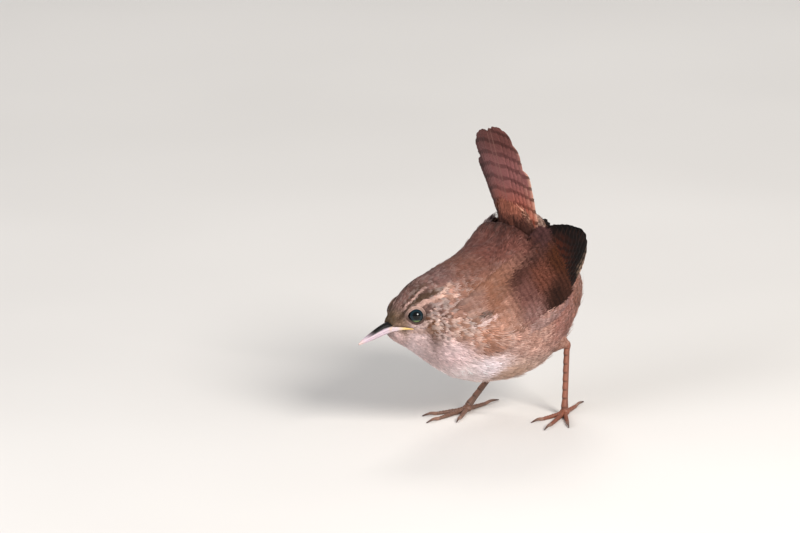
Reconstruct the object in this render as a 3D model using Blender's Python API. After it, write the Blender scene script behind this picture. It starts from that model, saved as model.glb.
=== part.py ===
# A small wren at life size, crouched with its tail cocked, as a still museum model.
# Metres, +Z up. The head points to -X, the bird's left side is -Y, and the feet stand on Z = 0.
# Lengths in the tables are millimetres and are turned to metres by MM where points are made.

import math

import bmesh
import bpy
from mathutils import Matrix, Vector

MM = 0.001
GAP = 0.3  # clear space between neighbouring nodes

# The bird's main sizes
BILL_LENGTH = 14.6  # tip to gape, of which about 10 stands clear of the feathers
EYEBALL_RADIUS = 2.45
EYE_OPENING_RADIUS = 1.85
TAIL_LENGTH = 34.0  # longest tail feather, root to tip
WING_LENGTH = 45.2  # folded, wrist to longest primary
TARSUS_LENGTH = 17.5
HEAD_TURN = 8.0  # degrees, towards the bird's right
NECK_PIVOT_X = -20.0

# Head and body as one closed form, from the feathers round the bill back to the vent.
# Each row: top x, top z, underside x, underside z, half width.
TRUNK = [
    (-39.6, 31.4, -38.9, 27.9, 1.7),
    (-38.6, 33.4, -37.2, 26.4, 3.4),
    (-37.0, 35.8, -34.9, 24.9, 4.6),
    (-34.6, 38.4, -32.0, 23.0, 6.0),
    (-31.6, 40.6, -28.9, 20.7, 7.6),
    (-28.0, 42.2, -25.6, 18.2, 9.4),
    (-23.8, 43.4, -21.6, 15.4, 11.3),
    (-18.6, 44.6, -16.4, 12.8, 13.0),
    (-12.6, 46.0, -10.0, 11.2, 14.5),
    (-6.2, 47.3, -2.6, 10.6, 15.3),
    (-0.2, 48.4, 5.0, 11.8, 15.2),
    (5.4, 48.6, 11.6, 15.0, 13.8),
    (10.2, 47.0, 17.2, 19.6, 11.4),
    (15.0, 43.8, 21.4, 25.0, 8.8),
    (19.2, 39.8, 23.6, 30.2, 5.7),
    (22.4, 36.4, 23.8, 34.2, 2.0),
]
TRUNK_SIDES = 36
TRUNK_RINGS = 42
CHEEK_FULLNESS = 0.07  # how much wider each ring is below its middle than above

# Where the trunk is parted, as shares of its length from bill to vent
HEAD_END = 0.375
NECK_END = 0.47
TORSO_END = 0.73

FEATHER_BROWN = (0.20, 0.10, 0.055, 1.0)
RUFOUS_BROWN = (0.26, 0.11, 0.05, 1.0)
BREAST_BUFF = (0.55, 0.42, 0.33, 1.0)
BILL_HORN = (0.70, 0.55, 0.50, 1.0)
CULMEN_HORN = (0.12, 0.08, 0.07, 1.0)
EYE_DARK = (0.01, 0.02, 0.02, 1.0)
LEG_FLESH = (0.35, 0.17, 0.13, 1.0)
CLAW_HORN = (0.22, 0.14, 0.11, 1.0)


def clear_scene():
    for item in list(bpy.data.objects):
        bpy.data.objects.remove(item, do_unlink=True)


def finish_of(name, colour, roughness):
    material = bpy.data.materials.get(name)
    if material is None:
        material = bpy.data.materials.new(name)
        material.use_nodes = True
        shader = material.node_tree.nodes["Principled BSDF"]
        shader.inputs["Base Color"].default_value = colour
        shader.inputs["Roughness"].default_value = roughness
    return material


def spline(rows, share):
    """The row at this share, 0 to 1, of a smooth curve through rows of equal length."""
    last = len(rows) - 1
    place = min(max(share, 0.0), 1.0) * last
    i = min(int(place), last - 1)
    f = place - i
    near = [rows[max(i - 1, 0)], rows[i], rows[i + 1], rows[min(i + 2, last)]]
    return [
        0.5 * (2 * b + (c - a) * f + (2 * a - 5 * b + 4 * c - d) * f * f + (3 * b - a - 3 * c + d) * f**3)
        for a, b, c, d in zip(*near)
    ]


def ease(value):
    value = min(max(value, 0.0), 1.0)
    return value * value * (3 - 2 * value)


def turned(point):
    """A point of the straight bird, moved as the head turns to its right on the neck."""
    turn = -math.radians(HEAD_TURN) * ease((NECK_PIVOT_X - point.x) / 12.0)
    pivot = Vector((NECK_PIVOT_X, 0, 0))
    return pivot + Matrix.Rotation(turn, 3, "Z") @ (point - pivot)


def trunk_ring(share, grow=0.0):
    """One ring of the trunk in millimetres. grow moves it outwards."""
    top_x, top_z, low_x, low_z, half_width = spline(TRUNK, share)
    top = Vector((top_x, 0, top_z))
    low = Vector((low_x, 0, low_z))
    centre = (top + low) / 2
    up = (top - low).normalized()
    half_height = (top - low).length / 2 + grow
    ring = []
    for k in range(TRUNK_SIDES):
        angle = 2 * math.pi * k / TRUNK_SIDES
        out = (half_width + grow) * math.sin(angle) * (1 - CHEEK_FULLNESS * math.cos(angle))
        point = centre + up * (half_height * math.cos(angle))
        ring.append(turned(point + Vector((0, out, 0))))
    return ring


def solid_from_rings(name, rings, alike=()):
    """A closed mesh through rings of points in millimetres, with flat ends.
    alike lists the ring places whose squares are split the other way, so both faces of a vane match."""
    count = len(rings[0])
    points = [p * MM for ring in rings for p in ring]
    faces = []
    for i in range(len(rings) - 1):
        for j in range(count):
            a = i * count + j
            b = i * count + (j + 1) % count
            c = b + count
            d = a + count
            if j in alike:
                faces += [(a, b, d), (b, c, d)]
            else:
                faces += [(a, b, c), (a, c, d)]
    faces.append(tuple(range(count - 1, -1, -1)))
    faces.append(tuple(range((len(rings) - 1) * count, len(rings) * count)))
    mesh = bpy.data.meshes.new(name)
    mesh.from_pydata(points, [], faces)
    shape = bmesh.new()
    shape.from_mesh(mesh)
    bmesh.ops.recalc_face_normals(shape, faces=shape.faces)
    shape.to_mesh(mesh)
    shape.free()
    item = bpy.data.objects.new(name, mesh)
    bpy.context.scene.collection.objects.link(item)
    return item


def ball(name, centre, radii, rings=14, sides=20):
    """An ellipsoid by its centre and three half sizes in millimetres."""
    made = []
    for i in range(rings + 1):
        polar = math.pi * (0.04 + 0.92 * i / rings)
        ring = []
        for k in range(sides):
            angle = 2 * math.pi * k / sides
            around = Vector((math.cos(angle) * math.sin(polar), math.sin(angle) * math.sin(polar), math.cos(polar)))
            ring.append(centre + Vector(a * r for a, r in zip(around, radii)))
        made.append(ring)
    return solid_from_rings(name, made)


def tube(name, path, radii, sides=10, steps=None, flatten=1.0):
    """A tapering round bar along a smooth path. path and radii are in millimetres."""
    steps = steps or 3 * len(path)
    rows = [(*p, r) for p, r in zip(path, radii)]
    samples = [spline(rows, i / steps) for i in range(steps + 1)]
    points = [Vector(s[:3]) for s in samples]
    rings = []
    side = None
    for i, point in enumerate(points):
        along = (points[min(i + 1, steps)] - points[max(i - 1, 0)]).normalized()
        if side is None:
            guide = Vector((0, 0, 1)) if abs(along.z) < 0.8 else Vector((1, 0, 0))
            side = along.cross(guide).normalized()
        side = (side - along * side.dot(along)).normalized()
        up = side.cross(along)
        radius = samples[i][3]
        rings.append([
            point
            + side * (radius * math.cos(2 * math.pi * k / sides))
            + up * (radius * flatten * math.sin(2 * math.pi * k / sides))
            for k in range(sides)
        ])
    return solid_from_rings(name, rings)


def evaluated_mesh(item):
    graph = bpy.context.evaluated_depsgraph_get()
    graph.update()
    return bpy.data.meshes.new_from_object(item.evaluated_get(graph))


def keep_largest(mesh):
    """Drops every closed surface of the mesh but the one of largest volume."""
    shape = bmesh.new()
    shape.from_mesh(mesh)
    bmesh.ops.triangulate(shape, faces=shape.faces)
    shape.faces.ensure_lookup_table()
    seen = set()
    groups = []
    for start in shape.faces:
        if start.index in seen:
            continue
        seen.add(start.index)
        stack = [start]
        group = []
        while stack:
            face = stack.pop()
            group.append(face)
            for edge in face.edges:
                for other in edge.link_faces:
                    if other.index not in seen:
                        seen.add(other.index)
                        stack.append(other)
        groups.append(group)

    def volume(group):
        total = 0.0
        for face in group:
            a, b, c = (v.co for v in face.verts)
            total += a.dot(b.cross(c)) / 6
        return total

    groups.sort(key=volume)
    for group in groups[:-1]:
        bmesh.ops.delete(shape, geom=group, context="FACES")
    shape.to_mesh(mesh)
    shape.free()


def combine(base, others, operation, solver="EXACT"):
    """Joins others to base or cuts them from it, in one Boolean, and removes them."""
    group = bpy.data.collections.new(base.name + "_tools")
    bpy.context.scene.collection.children.link(group)
    for other in others:
        bpy.context.scene.collection.objects.unlink(other)
        group.objects.link(other)
    step = base.modifiers.new(operation.lower(), "BOOLEAN")
    step.operation = operation
    step.operand_type = "COLLECTION"
    step.collection = group
    step.solver = solver
    made = evaluated_mesh(base)
    base.modifiers.clear()
    old = base.data
    base.data = made
    bpy.data.meshes.remove(old)
    for other in others:
        bpy.data.objects.remove(other, do_unlink=True)
    bpy.data.collections.remove(group)
    keep_largest(base.data)
    return base


def dress(item, material, smooth=True):
    item.data.materials.clear()
    item.data.materials.append(material)
    if smooth:
        item.data.shade_smooth()
        item.data.set_sharp_from_angle(angle=math.radians(50))
    return item


def trunk_length_at(share):
    """How many millimetres of the trunk's middle line one whole share spans, near this place."""
    step = 0.01
    ahead = sum(trunk_ring(share + step), Vector()) / TRUNK_SIDES
    behind = sum(trunk_ring(share - step), Vector()) / TRUNK_SIDES
    return (ahead - behind).length / (2 * step)


def trunk_piece(name, start, end, grow=0.0, rings=None):
    """The stretch of the trunk between two shares of its length."""
    rings = rings or max(3, round(TRUNK_RINGS * (end - start)))
    return solid_from_rings(
        name, [trunk_ring(start + (end - start) * i / rings, grow) for i in range(rings + 1)]
    )


def whole_trunk(name, grow):
    """The whole trunk as a cutter, grown outwards so that what it cuts keeps its distance."""
    return trunk_piece(name, 0.0, 1.0, grow, TRUNK_RINGS)


# Bill: each row is the distance from the tip, half width and the heights of the two mandibles
BILL_TIP = Vector((-48.3, 0, 27.25))
BILL_PITCH = 15.0
BILL_ROWS = [
    (0.0, 0.22, 0.22, 0.20),
    (2.0, 0.62, 0.72, 0.62),
    (4.5, 0.98, 1.12, 0.95),
    (7.0, 1.28, 1.48, 1.12),
    (9.4, 1.85, 1.60, 1.15),
    (11.6, 3.15, 1.30, 1.00),
    (BILL_LENGTH, 5.00, 0.50, 0.65),
]
BILL_DROOP = 0.5  # how far the tip curves down
GAPE_DROP = 0.03  # how fast the line of the mouth curves down again to its corner, behind 8 mm
MOUTH_GAP = 0.16  # half of the slit that is the line of the mouth
BILL_STEPS = 11
BILL_SIDES = 9


def bill_point(distance, across, height):
    """A point of the bill from its distance behind the tip, its offset and its height over the mouth line."""
    pitch = math.radians(BILL_PITCH)
    back = Vector((math.cos(pitch), 0, math.sin(pitch)))
    up = Vector((-math.sin(pitch), 0, math.cos(pitch)))
    droop = BILL_DROOP - BILL_DROOP * (1 - min(distance / 9.0, 1.0)) ** 2 - GAPE_DROP * max(distance - 8.0, 0.0) ** 2
    return turned(BILL_TIP + back * distance + up * (height + droop) + Vector((0, across, 0)))


def mandible(name, upper, grow=0.0):
    sign = 1 if upper else -1
    rings = []
    for i in range(BILL_STEPS + 1):
        distance, half_width, over, under = spline(BILL_ROWS, i / BILL_STEPS)
        height = (over if upper else under) + grow
        width = half_width + grow
        flat = MOUTH_GAP - grow
        ring = []
        for k in range(BILL_SIDES):
            angle = math.pi * k / (BILL_SIDES - 1)
            ring.append(bill_point(
                distance - (grow if i == 0 else 0) + (grow if i == BILL_STEPS else 0),
                width * math.cos(angle),
                sign * (flat + (height - flat) * math.sin(angle)),
            ))
        rings.append(ring)
    return solid_from_rings(name, rings)


def nostril(name, side):
    """A slit low on each side of the upper mandible, where the feathers end."""
    start = bill_point(7.3, side * 1.55, 0.85)
    end = bill_point(8.7, side * 1.9, 1.05)
    return tube(name, [start, (start + end) / 2, end], [0.18, 0.26, 0.2], sides=8, steps=4)


# Eyes, in the frame of the straight head. Each sits so deep that only the lids' opening shows it.
EYE_AXIS = Vector((-0.45, 0.87, 0.20)).normalized()  # where each eye looks, for the right one
EYE_CENTRE = Vector((-33.3, 3.85, 33.55))
LID_THICKNESS = 0.48
LID_DEPTH = 1.75  # from the eyeball's centre to the ring of lid


def mirrored(vector, side):
    return Vector((vector.x, vector.y * side, vector.z))


def eye_centre(side):
    return turned(mirrored(EYE_CENTRE, side))


def eye_axis(side):
    centre = mirrored(EYE_CENTRE, side)
    return (turned(centre + mirrored(EYE_AXIS, side)) - turned(centre)).normalized()


def eyelid(name, side):
    """A ring of bare lid round the eye opening, a little drawn out at its front corner."""
    centre = eye_centre(side)
    axis = eye_axis(side)
    across = axis.cross(Vector((0, 0, 1))).normalized()
    if across.x > 0:
        across = -across
    up = across.cross(axis)
    if up.z < 0:
        up = -up
    sides, around = 6, 20
    rings = []
    for i in range(around):
        angle = 2 * math.pi * i / around
        corner = 0.16 * max(0.0, math.cos(angle)) ** 6
        radius = EYE_OPENING_RADIUS + 0.36 + corner
        out = across * math.cos(angle) + up * math.sin(angle)
        middle = centre + axis * LID_DEPTH + out * radius
        rings.append([
            middle
            + out * (LID_THICKNESS * math.cos(2 * math.pi * k / sides))
            + axis * (LID_THICKNESS * math.sin(2 * math.pi * k / sides))
            for k in range(sides)
        ])
    count = sides
    points = [p * MM for ring in rings for p in ring]
    faces = [
        (i * count + j, i * count + (j + 1) % count,
         (i + 1) % around * count + (j + 1) % count, (i + 1) % around * count + j)
        for i in range(around) for j in range(count)
    ]
    mesh = bpy.data.meshes.new(name)
    mesh.from_pydata(points, [], faces)
    shape = bmesh.new()
    shape.from_mesh(mesh)
    bmesh.ops.recalc_face_normals(shape, faces=shape.faces)
    shape.to_mesh(mesh)
    shape.free()
    item = bpy.data.objects.new(name, mesh)
    bpy.context.scene.collection.objects.link(item)
    return item


def socket(name, side):
    """The hollow that the eyeball sits in, open at the lids."""
    centre = eye_centre(side)
    radius = EYEBALL_RADIUS + GAP + 0.05  # a little more, as its sides are flat
    return ball(name, centre, (radius, radius, radius), rings=10, sides=16)


def make_head():
    head = trunk_piece("head", 0.0, HEAD_END, rings=18)
    combine(head, [eyelid("lid_left", -1), eyelid("lid_right", 1)], "UNION", "MANIFOLD")
    cutters = [
        mandible("slot_upper", True, GAP),
        mandible("slot_lower", False, GAP),
        socket("socket_left", -1),
        socket("socket_right", 1),
    ]
    combine(head, cutters, "DIFFERENCE", "MANIFOLD")
    dress(head, finish_of("crown_feathers", FEATHER_BROWN, 0.8))


def make_bill():
    upper = mandible("bill_upper", True)
    combine(upper, [nostril("nostril_left", -1), nostril("nostril_right", 1)], "DIFFERENCE")
    dress(upper, finish_of("culmen_horn", CULMEN_HORN, 0.35))
    dress(mandible("bill_lower", False), finish_of("bill_horn", BILL_HORN, 0.35))


def make_eyes():
    for name, side in (("eye_left", -1), ("eye_right", 1)):
        radius = EYEBALL_RADIUS
        eye = ball(name, eye_centre(side), (radius, radius, radius), rings=10, sides=16)
        dress(eye, finish_of("eye", EYE_DARK, 0.05))


def make_trunk():
    parts = (
        ("neck", HEAD_END, NECK_END, FEATHER_BROWN),
        ("torso", NECK_END, TORSO_END, BREAST_BUFF),
        ("rump", TORSO_END, 1.0, RUFOUS_BROWN),
    )
    for name, start, end, colour in parts:
        begin = start + GAP / trunk_length_at(start)
        piece = trunk_piece(name, begin, end, rings=max(6, round(TRUNK_RINGS * (end - begin))))
        dress(piece, finish_of(name + "_feathers", colour, 0.8))


# Wings. A place on a folded wing is given by three lengths: back from the wrist, up from the
# line between the wrist and the wing's tip, and out from the wing's own curved surface.
WRIST = (-20.0, 28.6)
WING_TILT = 20.5
WING_THICKNESS = 0.55


def wing_surface(along, across):
    """A point of the right wing's inner surface, which wraps the flank and runs straight behind it."""
    tilt = math.radians(WING_TILT)
    x = WRIST[0] + along * math.cos(tilt) - across * math.sin(tilt)
    z = WRIST[1] + along * math.sin(tilt) + across * math.cos(tilt)
    over = across + 5.0
    y = 15.0 - 0.0072 * (along - 13.0) ** 2 - 0.28 * over - 0.012 * over * abs(over)
    return Vector((x, y, z))


def wing_place(along, across, out, side):
    step = 0.2
    here = wing_surface(along, across)
    along_way = wing_surface(along + step, across) - here
    across_way = wing_surface(along, across + step) - here
    normal = along_way.cross(across_way).normalized()
    if normal.y < 0:
        normal = -normal
    return mirrored(here + normal * out, side)


def vane(name, place, root, tip, width, lift=(0.0, 0.0), thickness=0.55, steps=7, bow=0.0, outer_share=0.5,
         blunt=0.72):
    """One feather as a thin leaf: root and tip are (along, across) on the surface that place gives.
    lift is its height over that surface at root and tip. outer_share is the narrow web's part of the width.
    blunt is how far along the vane starts to round off."""
    root, tip = Vector(root), Vector(tip)
    run = tip - root
    sideways = Vector((-run.y, run.x)).normalized()
    rings = []
    for i in range(steps + 1):
        f = i / steps
        middle = root + run * f + sideways * (bow * math.sin(math.pi * f))
        # narrow at the root, full over most of the length, round at the tip
        shape = min(1.0, 0.45 + 1.6 * f) * math.sqrt(max(0.0, 1 - max(0.0, (f - blunt) / (1.005 - blunt)) ** 2.4))
        half = max(width * shape, 0.5)
        low = middle - sideways * (half * outer_share)
        high = middle + sideways * (half * (1 - outer_share))
        base = lift[0] + (lift[1] - lift[0]) * f
        thick = thickness * (1.0 - 0.45 * max(0.0, (f - 0.7) / 0.3))
        rings.append([
            place(low.x, low.y, base),
            place(middle.x, middle.y, base),
            place(high.x, high.y, base),
            place(high.x, high.y, base + thick * 0.8),
            place(middle.x, middle.y, base + thick * 1.1),
            place(low.x, low.y, base + thick * 0.8),
        ])
    return solid_from_rings(name, rings, alike=(3, 4))


PRIMARY_TIPS = [
    (34.4, -3.6), (38.4, -3.2), (41.4, -2.5), (43.5, -1.5),
    (44.7, -0.4), (WING_LENGTH, 0.8), (44.6, 2.0), (43.2, 3.1),
]
SECONDARY_TIPS = [(41.9, 4.2), (40.6, 5.1), (39.0, 6.0), (37.1, 6.9), (35.0, 7.7)]
TERTIAL_TIPS = [(32.6, 8.4), (29.8, 8.9), (26.6, 9.1)]


def flight_feathers(side):
    """Primaries, secondaries and tertials, each lying a step over the one below it."""

    def place(along, across, out):
        return wing_place(along, across, out, side)

    pieces = []
    for i, tip in enumerate(PRIMARY_TIPS):
        root = (7.0 + 0.8 * i, -3.8 + 0.5 * i)
        lift = (0.0 + 0.12 * i, 0.0 + 0.27 * i)
        pieces.append(vane("primary", place, root, tip, 4.8, lift, bow=-0.9, outer_share=0.32, steps=5))
    for i, tip in enumerate(SECONDARY_TIPS):
        root = (13.0 + 1.0 * i, -0.2 + 0.9 * i)
        lift = (0.9 + 0.15 * i, 2.1 + 0.27 * i)
        pieces.append(vane("secondary", place, root, tip, 5.2, lift, bow=-0.6, outer_share=0.38, steps=5))
    for i, tip in enumerate(TERTIAL_TIPS):
        root = (17.0 - 0.8 * i, 4.4 + 0.7 * i)
        lift = (1.9 + 0.2 * i, 3.3 + 0.3 * i)
        pieces.append(vane("tertial", place, root, tip, 5.6, lift, bow=-0.3, outer_share=0.5, steps=5))
    return pieces


def covert_row(side, count, first, last, length, width, lift, droop):
    """A tier of coverts whose roots run in a line from first to last, each over the one below."""

    def place(along, across, out):
        return wing_place(along, across, out, side)

    pieces = []
    for i in range(count):
        f = i / (count - 1)
        root = (first[0] + (last[0] - first[0]) * f, first[1] + (last[1] - first[1]) * f)
        reach = length * (1 + 0.06 * math.sin(2.3 * i))
        tip = (root[0] + reach, root[1] + droop * (1 - 0.5 * f))
        rise = 0.09 * i
        pieces.append(vane(
            "covert", place, root, tip, width, (lift[0] + rise, lift[1] + rise), steps=4, outer_share=0.5,
        ))
    return pieces


def wing_core(side):
    """The folded arm under its small feathers: a low dome from the wrist to the elbow."""
    rings = []
    steps, sides = 10, 12
    for i in range(steps + 1):
        f = i / steps
        along = 1.0 + 21.0 * f
        middle = 1.9 + 1.6 * f
        swell = math.sin(math.pi * (0.06 + 0.90 * f)) ** 0.55
        half = 5.8 * swell
        ring = []
        for k in range(sides):
            angle = 2 * math.pi * k / sides
            across = middle + half * math.cos(angle)
            out = 1.15 + 2.3 * swell * math.sin(angle)
            ring.append(wing_place(along, across, out - 0.9, side))
        rings.append(ring)
    return solid_from_rings("wing_core", rings)


def make_wing(name, side):
    wing = wing_core(side)
    wing.name = name
    pieces = flight_feathers(side)
    pieces += covert_row(side, 3, (8.0, -4.6), (10.0, -3.4), 14.0, 3.4, (0.1, 0.9), 0.0)
    pieces += covert_row(side, 7, (10.0, -2.6), (15.5, 5.7), 12.0, 4.4, (1.2, 2.5), 1.0)
    pieces += covert_row(side, 6, (6.0, -1.8), (11.0, 5.3), 9.0, 4.2, (1.4, 2.9), 0.9)
    combine(wing, pieces, "UNION")
    combine(wing, [whole_trunk("trunk_cutter", GAP)], "DIFFERENCE")
    dress(wing, finish_of("wing_feathers", RUFOUS_BROWN, 0.7), smooth=False)


# Tail, cocked a little past upright. Its upper side faces the head.
TAIL_ROOT = Vector((3.7, 0, 44.0))
TAIL_LEAN = 13.0
TAIL_SWING = 1.5  # degrees towards the bird's right
TAIL_ROOF = 10.0  # slope of each half at the root, degrees. It flattens out to the tip
TAIL_LENGTHS = (TAIL_LENGTH, 34.0, 33.4, 32.4, 30.4, 24.5)  # from the middle outwards, on each side
TAIL_VANE_WIDTH = 4.5


def tail_place(along, across, out):
    lean = math.radians(TAIL_LEAN)
    roof = math.radians(TAIL_ROOF) * (1 - 0.9 * min(max(along, 0.0) / TAIL_LENGTH, 1.0))
    way = Vector((-math.sin(lean), 0, math.cos(lean)))
    upper = Vector((-math.cos(lean), 0, -math.sin(lean)))
    curl = 0.0012 * along * along  # the tips bend slightly forward
    return (
        TAIL_ROOT
        + way * along
        + Vector((0, across * math.cos(roof) + along * math.sin(math.radians(TAIL_SWING)), 0))
        + upper * (out - math.sqrt(across * across + 1.5) * math.sin(roof) + curl)
    )


def make_tail():
    pieces = []
    for side in (-1, 1):
        for k, length in enumerate(TAIL_LENGTHS):
            root = (0.0, side * (0.5 + 0.74 * k))
            tip = (length, side * (0.8 + 1.30 * k))
            lower = 0.0 if side < 0 else 0.14
            lift = (-0.34 * k - lower, -0.18 * k - lower)
            pieces.append(vane(
                "tail_feather", tail_place, root, tip, TAIL_VANE_WIDTH, lift, steps=7,
                outer_share=0.5 - side * 0.12, blunt=0.82,
            ))
    rings = []
    steps, sides = 8, 18
    for i in range(steps + 1):
        f = i / steps
        along = -6.0 + 20.0 * f
        half_width = 7.5 * math.sqrt(1 - 0.78 * f**2.5)
        half_depth = 4.4 * math.sqrt(1 - 0.96 * f**1.6)
        middle = -2.6 + 1.6 * ease(f)
        ring = []
        for j in range(sides):
            angle = 2 * math.pi * j / sides
            across = half_width * math.cos(angle)
            ring.append(tail_place(along, across, middle + half_depth * math.sin(angle)))
        rings.append(ring)
    tail = solid_from_rings("tail", rings)
    combine(tail, pieces, "UNION")
    combine(tail, [whole_trunk("trunk_cutter", GAP)], "DIFFERENCE")
    dress(tail, finish_of("tail_feathers", RUFOUS_BROWN, 0.7), smooth=False)


# Legs. Each row is one leg: side, foot place, heel place, and the turn of the foot outwards.
LEGS = {
    "left": {"side": -1, "foot": (11.4, -10.5), "heel": (13.2, -9.4), "hip": (6.0, -7.4, 22.0), "turn": 26.0},
    "right": {"side": 1, "foot": (-4.6, 9.4), "heel": (8.2, 8.2), "hip": (2.0, 6.6, 18.0), "turn": -6.0},
}
PAD_HEIGHT = 1.15
STUB_LENGTH = 2.6  # how far the foot's own node reaches up the shank
TOE_RADIUS = 0.68
FLAT_DEPTH = 0.16  # how much of each pad's round underside is cut flat at the floor
# Toe name, direction in degrees from straight ahead (outwards positive), length, claw length
TOES = (("inner", -27.0, 8.0, 3.6), ("middle", 1.0, 11.5, 4.2), ("outer", 25.0, 9.0, 3.6), ("hind", 178.0, 7.6, 5.4))


def leg_points(leg):
    """The foot's centre and the heel of this leg, with the tarsus at its full length between them."""
    foot = Vector((*leg["foot"], PAD_HEIGHT))
    flat = Vector((leg["heel"][0] - leg["foot"][0], leg["heel"][1] - leg["foot"][1], 0))
    rise = math.sqrt(TARSUS_LENGTH**2 - flat.length**2)
    return foot, foot + flat + Vector((0, 0, rise))


def toe_way(leg, angle):
    heading = math.radians(leg["turn"] + angle)
    return Vector((-math.cos(heading), leg["side"] * math.sin(heading), 0))


def make_leg(name):
    leg = LEGS[name]
    foot, heel = leg_points(leg)
    shin = (heel - foot).normalized()
    hip = Vector(leg["hip"])
    thigh_way = (hip - heel).normalized()

    thigh = tube(
        "thigh_" + name,
        [heel + thigh_way * 1.5, heel + thigh_way * 4.0, heel + thigh_way * 8.0, hip, hip + thigh_way * 2.5],
        [1.4, 2.6, 4.4, 5.4, 5.0], sides=18, steps=10,
    )
    combine(thigh, [whole_trunk("trunk_cutter", GAP)], "DIFFERENCE")
    dress(thigh, finish_of("thigh_feathers", BREAST_BUFF, 0.8))

    # heel, then a slender shank whose front scutes are low steps, then the spread above the toes
    scutes = 8
    path, radii = [heel + thigh_way * 1.2, heel + thigh_way * 0.4], [0.95, 1.12]
    for i in range(2 * scutes + 1):
        f = 0.06 + 0.74 * i / (2 * scutes)
        path.append(heel + (foot - heel) * f)
        radii.append(0.76 + (0.05 if i % 2 else -0.03) + 0.25 * (1 - f) ** 6 + 0.12 * f**5)
    path.append(foot + shin * (STUB_LENGTH + GAP))
    radii.append(0.94)
    tarsus = tube("tarsus_" + name, path, radii, sides=10, steps=len(path) + 6)
    dress(tarsus, finish_of("leg_scales", LEG_FLESH, 0.5))

    pad = ball("foot_" + name, foot + Vector((0, 0, -0.35)), (1.25, 1.25, 0.95), rings=6, sides=10)
    toes = [tube("stub", [foot, foot + shin * (STUB_LENGTH / 2), foot + shin * STUB_LENGTH], [1.0, 0.97, 0.94], steps=3)]
    for toe, angle, length, claw_length in TOES:
        way = toe_way(leg, angle)
        joints = 6
        path, radii = [], []
        for i in range(joints + 1):
            f = i / joints
            sink = TOE_RADIUS * (1 - 0.28 * f) - FLAT_DEPTH
            arch = 0.30 * math.sin(math.pi * f) * (1 if i % 2 else 0)
            height = sink + (0.35 if i == 0 else 0) + arch * 0.3
            path.append(foot + way * (length * f) + Vector((0, 0, height - foot.z)))
            radii.append(TOE_RADIUS * (1 - 0.28 * f) * (1.0 if i % 2 == 0 else 0.9))
        toes.append(tube(toe, path, radii, sides=7, steps=joints))

        end = path[-1]
        base = end + way * GAP
        thick = radii[-1] * 0.78
        claw = tube(
            f"claw_{name}_{toe}",
            [
                base,
                base + way * (claw_length * 0.35) + Vector((0, 0, 0.22)),
                base + way * (claw_length * 0.7) + Vector((0, 0, 0.05)),
                base + way * claw_length + Vector((0, 0, -end.z + 0.16)),
            ],
            [thick, thick * 0.86, thick * 0.55, 0.12], sides=6, steps=6,
        )
        dress(claw, finish_of("claw_horn", CLAW_HORN, 0.35))
    combine(pad, toes, "UNION")
    cut_flat(pad)
    dress(pad, finish_of("leg_scales", LEG_FLESH, 0.5))


def cut_flat(item):
    """Cuts the underside of the item off at the floor, which leaves small flats to stand on."""
    shape = bmesh.new()
    shape.from_mesh(item.data)
    geometry = shape.verts[:] + shape.edges[:] + shape.faces[:]
    cut = bmesh.ops.bisect_plane(
        shape, geom=geometry, plane_co=(0, 0, 0), plane_no=(0, 0, 1), clear_inner=True, dist=1e-8,
    )
    edges = [e for e in cut["geom_cut"] if isinstance(e, bmesh.types.BMEdge)]
    bmesh.ops.holes_fill(shape, edges=edges, sides=0)
    bmesh.ops.triangulate(shape, faces=shape.faces)
    shape.to_mesh(item.data)
    shape.free()


def centre_on_origin():
    """Moves the whole bird so that the middle of its outline, seen from above, is over the origin."""
    items = [o for o in bpy.context.scene.collection.objects if o.type == "MESH"]
    xs = [v.co.x for o in items for v in o.data.vertices]
    ys = [v.co.y for o in items for v in o.data.vertices]
    zs = [v.co.z for o in items for v in o.data.vertices]
    shift = Vector((-(min(xs) + max(xs)) / 2, -(min(ys) + max(ys)) / 2, -min(zs)))
    for item in items:
        item.data.transform(Matrix.Translation(shift))
    print("moved by, in mm:", [round(s / MM, 3) for s in shift])


def main():
    clear_scene()
    make_head()
    make_bill()
    make_eyes()
    make_trunk()
    make_wing("wing_left", -1)
    make_wing("wing_right", 1)
    make_tail()
    make_leg("left")
    make_leg("right")
    centre_on_origin()


main()
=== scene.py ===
# The looks of a small brown wren, life size: skin, plumage, wings, tail, bill, eyes and feet.
# Lengths are in millimetres until a mesh is made, and the bird faces -X.
import math

import bpy
import numpy as np
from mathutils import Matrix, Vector, kdtree


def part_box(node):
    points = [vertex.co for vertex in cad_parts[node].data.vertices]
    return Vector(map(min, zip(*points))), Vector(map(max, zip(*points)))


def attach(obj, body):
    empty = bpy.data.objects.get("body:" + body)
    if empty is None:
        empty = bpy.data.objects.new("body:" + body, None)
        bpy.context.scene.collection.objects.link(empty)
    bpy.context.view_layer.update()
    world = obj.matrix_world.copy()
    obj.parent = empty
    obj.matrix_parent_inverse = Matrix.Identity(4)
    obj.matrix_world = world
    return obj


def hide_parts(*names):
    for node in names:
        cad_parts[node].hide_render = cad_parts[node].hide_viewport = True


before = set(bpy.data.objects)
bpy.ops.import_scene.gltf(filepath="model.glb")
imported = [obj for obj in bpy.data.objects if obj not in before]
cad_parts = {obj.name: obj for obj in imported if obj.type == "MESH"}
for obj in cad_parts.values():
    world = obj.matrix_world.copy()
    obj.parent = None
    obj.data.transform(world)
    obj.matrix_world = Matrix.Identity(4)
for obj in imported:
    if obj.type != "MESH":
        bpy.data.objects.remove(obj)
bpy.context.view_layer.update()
bpy.ops.object.select_all(action="DESELECT")
mm = 0.001
photoSize = (800, 533)

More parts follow.
